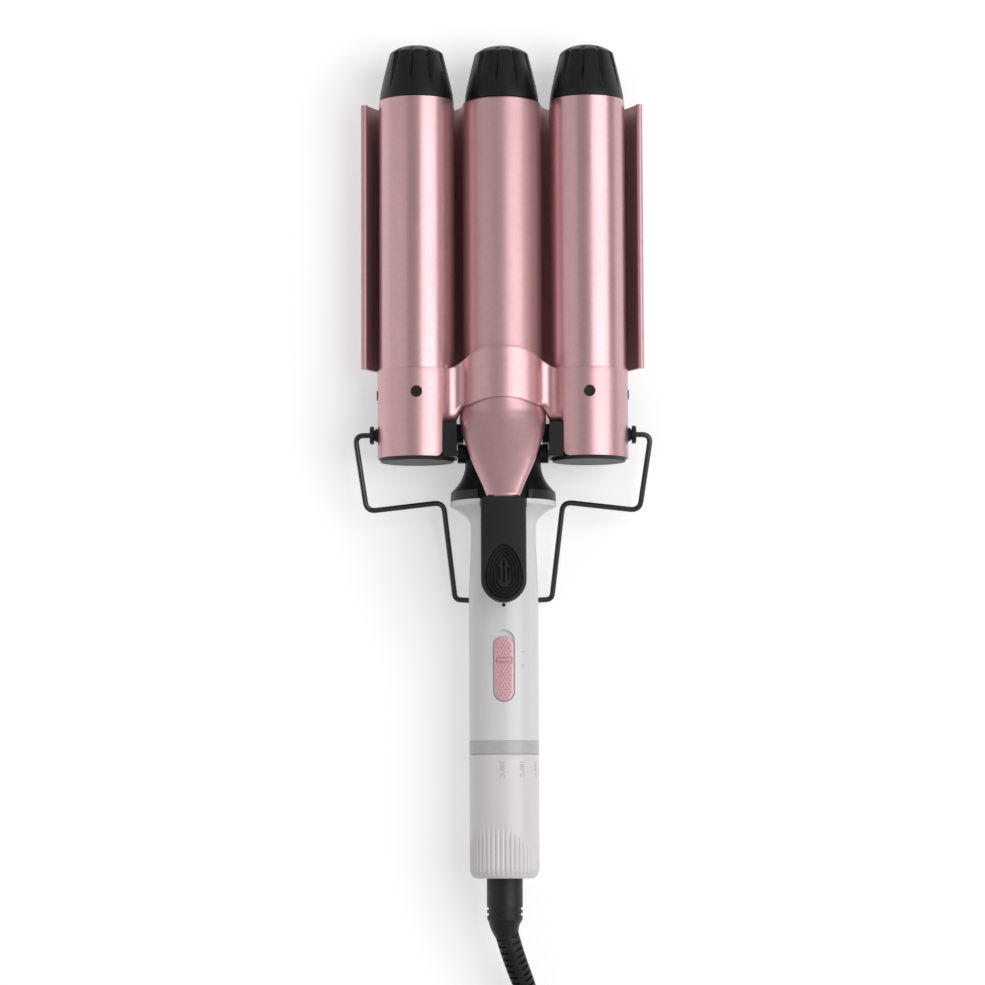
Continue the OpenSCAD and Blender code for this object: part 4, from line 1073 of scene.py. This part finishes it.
class WAVER_OT_dial(bpy.types.Operator):
    """Makes the fluted heat dial, its printed figures and the small marks by the switch"""
    bl_idname = "waver.dial"
    bl_label = "Heat dial"

    # Words and angle round the dial, and words and station of the marks by the switch
    FIGURES = [("200°C", -4.0), ("180°C", 29.5), ("160°C", 62.0), ("OFF", 96.0)]
    MARKS = [("I", -81.5), ("O", -87.5)]

    def body(self):
        radius, rear, front = mm("handle_radius"), DIAL_REAR_Y, DIAL_FRONT_Y
        outline = [(8.2, -168.2), (8.2, rear + 0.4), (8.6, rear), (radius - 2.2, rear), (radius - 1.5, rear + 0.3),
                   (radius - 0.8, rear + 1.2), (radius - 0.3, rear + 2.6)]
        outline += [(radius, rear + 2.6 + 0.55 * k) for k in range(1, 45)]
        outline += [(radius, -140), (radius, -128), (radius, front - 0.6), (radius - 0.25, front - 0.15),
                    (12.4, front - 0.15), (12.4, front - 2.0)]
        bm = bmesh.new()
        lathe(bm, outline, sizes().flutes * 8, closed=True)
        for v in bm.verts:
            dx, dz = v.co.x, v.co.z - AXIS_Z
            r = math.hypot(dx, dz)
            if r < radius - 1.6 or v.co.y > -145:
                continue
            angle = math.atan2(dx, dz)
            reach = flute_start(angle) - v.co.y
            depth = 0.6 * between(reach, -1.0, 5.0) * between(v.co.y - DIAL_REAR_Y, 0.4, 2.2)
            share = (angle * sizes().flutes / math.tau) % 1.0
            cut = depth * (1 - abs(math.sin(math.pi * share)) ** 0.7)
            v.co.x -= dx / r * cut
            v.co.z -= dz / r * cut
        return new_object(bm, "heat_dial_fluted")

    def figure(self, words, size, name, centre_angle, middle_y):
        """Text laid along the handle and bent round it."""
        radius = mm("handle_radius")
        curve = bpy.data.curves.new(name, "FONT")
        curve.body, curve.size = words, size
        curve.align_x, curve.align_y = "CENTER", "CENTER"
        curve.resolution_u = 6
        holder = placed(name, curve)
        mesh = as_mesh(holder)
        bpy.data.objects.remove(holder)
        bpy.data.curves.remove(curve)
        bm = bmesh.new()
        bm.from_mesh(mesh)
        bpy.data.meshes.remove(mesh)
        bmesh.ops.triangulate(bm, faces=bm.faces)
        bmesh.ops.subdivide_edges(bm, edges=bm.edges, cuts=1)
        grown = bmesh.ops.extrude_face_region(bm, geom=list(bm.faces))["geom"]
        for v in grown_verts(grown):
            v.co.z = 1.0
        for v in bm.verts:
            along_it, round_it, high = v.co.x, v.co.y, v.co.z
            a = math.radians(centre_angle) + round_it / radius
            r = radius + (0.03 if high > 0.5 else -0.05)
            v.co = (r * math.sin(a), middle_y - along_it, AXIS_Z + r * math.cos(a))
        bmesh.ops.remove_doubles(bm, verts=bm.verts, dist=0.0004)
        face_out(bm)
        return new_object(bm, name)

    def execute(self, context):
        cream = white_plastic("dial_plastic", tones().dial, 0.34)
        dress(self.body(), cream, "dial", ("heat_dial",), sharp=40)
        ink = finish("print_ink", tones().print_ink, 0.5, (0.06, 1500))
        for i, (words, angle) in enumerate(self.FIGURES):
            dress(self.figure(words, 2.75, f"dial_figure_{i}", angle, -130.2), ink, "dial")
        # The marks by the switch are embossed; their grey is painted shade standing for the light on that relief,
        # not ink.
        grey = finish("switch_ink", (0.42, 0.36, 0.37), 0.5, (0.06, 1500))
        for i, (words, y) in enumerate(self.MARKS):
            dress(self.figure(words, 2.2, f"switch_mark_{i}", 32.0, y), grey, "handle_body")
        return {"FINISHED"}


# ---------- stand ----------

class WAVER_OT_stand(bpy.types.Operator):
    """Makes the bent wire stand and the spools that hold its ends"""
    bl_idname = "waver.stand"
    bl_label = "Wire stand"

    BENDS = [4, 4, 4, 2.4, 4, 2.4, 4, 4, 4]
    HALF = [(51.25, STAND_Y), (62.4, STAND_Y), (57.7, -21.05), (25.3, -17.45), (20.5, -58.05)]
    MIDDLE_Y = -59.25
    SPOOL = [(1.21, -1.8), (2.1, -1.8), (2.15, 0.05), (2.75, 0.05), (2.9, 0.2), (2.9, 0.8), (2.75, 0.95),
             (2.3, 0.95), (2.3, 1.5), (3.6, 1.5), (3.8, 1.7), (3.8, 2.9), (3.4, 3.3), (1.21, 3.3)]
    # How far the wire drops over how long a reach
    DROP, REACH = 16.05, 69.7

    def point(self, x, y):
        return Vector((x, y, AXIS_Z - (STAND_Y - y) * self.DROP / self.REACH))

    def corners(self, route, reach):
        """The route with each corner taken as a curve."""
        out = [route[0]]
        for a, b, c, far in zip(route, route[1:], route[2:], reach):
            start = b + (a - b).normalized() * far
            end = b + (c - b).normalized() * far
            out += [(1 - t) ** 2 * start + 2 * t * (1 - t) * b + t * t * end for t in shares(9)]
        return out + [route[-1]]

    def execute(self, context):
        plan = self.HALF + [(0, self.MIDDLE_Y)] + [(-x, y) for x, y in reversed(self.HALF)]
        route = self.corners([self.point(x, y) for x, y in plan], self.BENDS)
        wire = shaped("stand_wire", lambda b: tube(b, route, mm("wire_radius"), 28))
        lacquer = finish("stand_paint", (0.008, 0.008, 0.009), 0.3, (0.2, 600), (0.04, 0.1, 500), coat=0.5,
                         coat_roughness=0.12)
        dress(wire, lacquer, "stand", ("wire_stand",), sharp=50)
        dark = black_plastic("spool_plastic", roughness=0.4, depth=0.015)
        for side, name, replaced in ((-1, "left_spool", ("stand_bushes",)), (1, "right_spool", ())):
            spool = bmesh.new()
            lathe(spool, self.SPOOL, 64, 0, 0, closed=True)
            place = Matrix.Translation((side * (PITCH + mm("housing_radius")), STAND_Y, AXIS_Z))
            turn = Matrix.Rotation(-math.pi / 2 * side, 4, "Z")
            bmesh.ops.transform(spool, matrix=place @ turn, verts=spool.verts)
            face_out(spool)
            dress(new_object(spool, name), dark, "clamp", replaced)
        return {"FINISHED"}


# ---------- carried-over pieces ----------

class WAVER_OT_barrels(bpy.types.Operator):
    """Gives the barrels and the wave plate their rose finish"""
    bl_idname = "waver.barrels"
    bl_label = "Barrels and plate"

    def execute(self, context):
        paint(rose_paint("rose_barrel", 1.0, 0.30), "left_barrel", "right_barrel")
        # The plate takes the same rose paint darkened to 0.92: painted shade.
        paint(rose_paint("rose_plate", 0.92, 0.4, 0.65), "wave_plate")
        return {"FINISHED"}


class WAVER_OT_housings(bpy.types.Operator):
    """Gives the lower shells, end discs, screws and plugs their finishes"""
    bl_idname = "waver.housings"
    bl_label = "Housings and screws"

    def execute(self, context):
        paint(black_plastic("shell_plastic", None, 0.44, 0.03), "left_base_shell", "right_base_shell",
              "left_barrel_mount", "right_barrel_mount", "side_plugs")
        paint(finish("end_disc_plastic", (0.016, 0.015, 0.016), 0.5, (0.15, 500), None, (1800, 0.03, 0.4)),
              "left_end_disc", "right_end_disc")
        # Near-black steel for the screws: partly their own dark finish, partly painted shade so the counterbores
        # read as dark holes.
        paint(bare_metal("screw_steel", (0.045, 0.036, 0.03), 0.4, EVEN), "cover_screws", "base_screws")
        paint(bare_metal("handle_screw_steel", (0.45, 0.45, 0.47), 0.35, EVEN), "handle_screws")
        return {"FINISHED"}


class WAVER_OT_inner_parts(bpy.types.Operator):
    """Gives the heaters, hinge, spring, electrics and leads their finishes"""
    bl_idname = "waver.inner_parts"
    bl_label = "Inner parts"

    def execute(self, context):
        paint(bare_metal("drawn_aluminium", (0.68, 0.69, 0.71), 0.38),
              "middle_heater", "left_heater", "right_heater")
        # Painted shade: the rose at 0.6, so the ring of spine tube seen in the gap at the middle cap's base reads
        # dark instead of bare metal.
        paint(rose_paint("rose_tube", 0.6, 0.4), "spine_tube")
        paint(bare_metal("spring_steel", (0.5, 0.5, 0.52), 0.3, (0.05, 1, 1)), "hinge_pin", "clamp_spring")
        paint(finish("glass_sleeve", (0.32, 0.06, 0.035), 0.75, (0.25, 1400, (1, 0.4, 1)), None, (1500, 0.08, 0.7)),
              "supply_leads", "heater_leads", "left_barrel_leads", "right_barrel_leads")
        paint(plain_plastic("board_laminate", (0.03, 0.16, 0.07), 0.45), "circuit_board")
        paint(plain_plastic("paper_laminate", (0.45, 0.30, 0.12), 0.6), "heat_switch")
        paint(plain_plastic("switch_case", (0.02, 0.02, 0.02), 0.45), "slide_switch")
        paint(black_plastic("tail_plastic", None, 0.45, 0.02), "tail_tube")
        paint(finish("ring_plastic", tones().ring, 0.38, (0.04, 300), None, (1600, 0.01, 0.3), coat=0.1),
              "grey_ring")
        paint(finish("lamp_lens", (0.03, 0.02, 0.025), 0.12, (0.2, 2000), coat=0.6), "light_lens")
        paint(finish("tie_band", (0.02, 0.02, 0.022), 0.7, (0.3, 1500, (1, 0.3, 1)), None, (1800, 0.08, 0.7)),
              "cord_tie")
        paint(bare_metal("plug_brass", (0.72, 0.57, 0.30), 0.25), "plug_pins")
        return {"FINISHED"}


# ---------- camera and stage ----------

class WAVER_OT_camera(bpy.types.Operator):
    """Places the camera above the waver, leaning a little towards the cord end"""
    bl_idname = "waver.camera"
    bl_label = "Camera"

    LENS = 129.3
    AIM = (0, -13.85, AXIS_Z)
    SIDE = (-4.5, 0, 0)
    ROLL = math.radians(-0.22)

    def execute(self, context):
        stage = context.scene.waver_stage
        data = bpy.data.cameras.new("camera")
        data.lens, data.sensor_width = self.LENS, 36
        data.clip_start, data.clip_end = 0.05, 20
        camera = placed("camera", data)
        back = Vector((0, -math.sin(stage.tilt), math.cos(stage.tilt))) * stage.distance
        camera.matrix_world = (
            Matrix.Translation((Vector(self.AIM) + Vector(self.SIDE)) * MM + back)
            @ Matrix.Rotation(stage.tilt, 4, "X") @ Matrix.Rotation(self.ROLL, 4, "Z")
        )
        context.scene.camera = camera
        return {"FINISHED"}


class WAVER_OT_stage(bpy.types.Operator):
    """Makes the pale floor, the softboxes and the even light"""
    bl_idname = "waver.stage"
    bl_label = "Stage and lights"

    # What the floor adds of its own where the camera sees it
    GLOW = 0.4
    # Name, settings key, size and place of each softbox
    SOFTBOXES = (
        ("right_softbox", "key", (1.1, 1.3), (0.85, 0.0, 1.12)),
        ("left_softbox", "fill", (1.1, 1.4), (-1.04, 0.0, 0.62)),
        ("front_softbox", "front", (1.0, 0.5), (0.1, 1.3, 0.6)),
    )

    def floor(self):
        bm = bmesh.new()
        bmesh.ops.create_grid(bm, x_segments=1, y_segments=1, size=4000)
        floor = new_object(bm, "floor")
        made = bpy.data.materials.new("floor_paper")
        made.use_nodes = True
        tree = made.node_tree
        shader = tree.nodes["Principled BSDF"]
        shader.inputs["Base Color"].default_value = (0.8, 0.8, 0.8, 1)
        shader.inputs["Roughness"].default_value = 1.0
        shader.inputs["Specular IOR Level"].default_value = 0.0
        path, seen, also, glow, none, pick, total = (tree.nodes.new("ShaderNode" + kind) for kind in (
            "LightPath", "Math", "Math", "Emission", "Emission", "MixShader", "AddShader"))
        seen.operation = also.operation = "MAXIMUM"
        glow.inputs["Color"].default_value = (1, 1, 1, 1)
        glow.inputs["Strength"].default_value = self.GLOW
        none.inputs["Strength"].default_value = 0.0
        for source, target in (
            (path.outputs["Is Camera Ray"], seen.inputs[0]), (path.outputs["Is Glossy Ray"], seen.inputs[1]),
            (seen.outputs[0], also.inputs[0]), (path.outputs["Is Transmission Ray"], also.inputs[1]),
            (also.outputs[0], pick.inputs[0]), (none.outputs[0], pick.inputs[1]), (glow.outputs[0], pick.inputs[2]),
            (shader.outputs[0], total.inputs[0]), (pick.outputs[0], total.inputs[1]),
            (total.outputs[0], tree.nodes["Material Output"].inputs["Surface"]),
        ):
            tree.links.new(source, target)
        floor.data.materials.append(made)

    def softbox(self, name, power, size, place):
        """A softbox that looks at the origin."""
        lamp = bpy.data.lights.new(name, "AREA")
        lamp.shape, lamp.energy = "RECTANGLE", power
        lamp.size, lamp.size_y = size
        turn = Vector(place).to_track_quat("Z", "Y").to_matrix().to_4x4()
        placed(name, lamp).matrix_world = Matrix.Translation(place) @ turn

    def execute(self, context):
        stage = context.scene.waver_stage
        self.floor()
        for name, key, size, place in self.SOFTBOXES:
            self.softbox(name, getattr(stage, key), size, place)
        world = bpy.data.worlds.new("studio")
        context.scene.world = world
        world.use_nodes = True
        sky = world.node_tree.nodes["Background"]
        sky.inputs["Color"].default_value = (1, 1, 1, 1)
        sky.inputs["Strength"].default_value = stage.sky
        context.scene.view_settings.view_transform = "Standard"
        return {"FINISHED"}


# ---------- panel and registration ----------

STEPS = (
    WAVER_OT_camera, WAVER_OT_plug, WAVER_OT_cord, WAVER_OT_relief, WAVER_OT_barrels, WAVER_OT_tip_caps,
    WAVER_OT_clamp_cover, WAVER_OT_housings, WAVER_OT_thumb_lever, WAVER_OT_handle, WAVER_OT_slide_button,
    WAVER_OT_dial, WAVER_OT_stand, WAVER_OT_inner_parts, WAVER_OT_stage,
)


class WAVER_PT_panel(bpy.types.Panel):
    """Lists the waver's pieces, its sizes and its colours"""
    bl_idname = "WAVER_PT_panel"
    bl_label = "Hair waver"
    bl_space_type = "VIEW_3D"
    bl_region_type = "UI"
    bl_category = "Waver"

    def draw(self, context):
        for settings in (context.scene.waver_sizes, context.scene.waver_colours, context.scene.waver_stage):
            box = self.layout.box()
            for name in settings.bl_rna.properties.keys():
                if name not in ("rna_type", "name"):
                    box.prop(settings, name)
        for step in STEPS:
            self.layout.operator(step.bl_idname)


CLASSES = (WaverSizes, WaverColours, WaverStage, *STEPS, WAVER_PT_panel)


def register():
    for made in CLASSES:
        bpy.utils.register_class(made)
    bpy.types.Scene.waver_sizes = PointerProperty(type=WaverSizes)
    bpy.types.Scene.waver_colours = PointerProperty(type=WaverColours)
    bpy.types.Scene.waver_stage = PointerProperty(type=WaverStage)


def unregister():
    del bpy.types.Scene.waver_stage
    del bpy.types.Scene.waver_colours
    del bpy.types.Scene.waver_sizes
    for made in reversed(CLASSES):
        bpy.utils.unregister_class(made)


def main():
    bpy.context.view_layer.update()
    register()
    for step in STEPS:
        getattr(bpy.ops.waver, step.bl_idname.split(".")[1])()


if __name__ == "__main__":
    main()
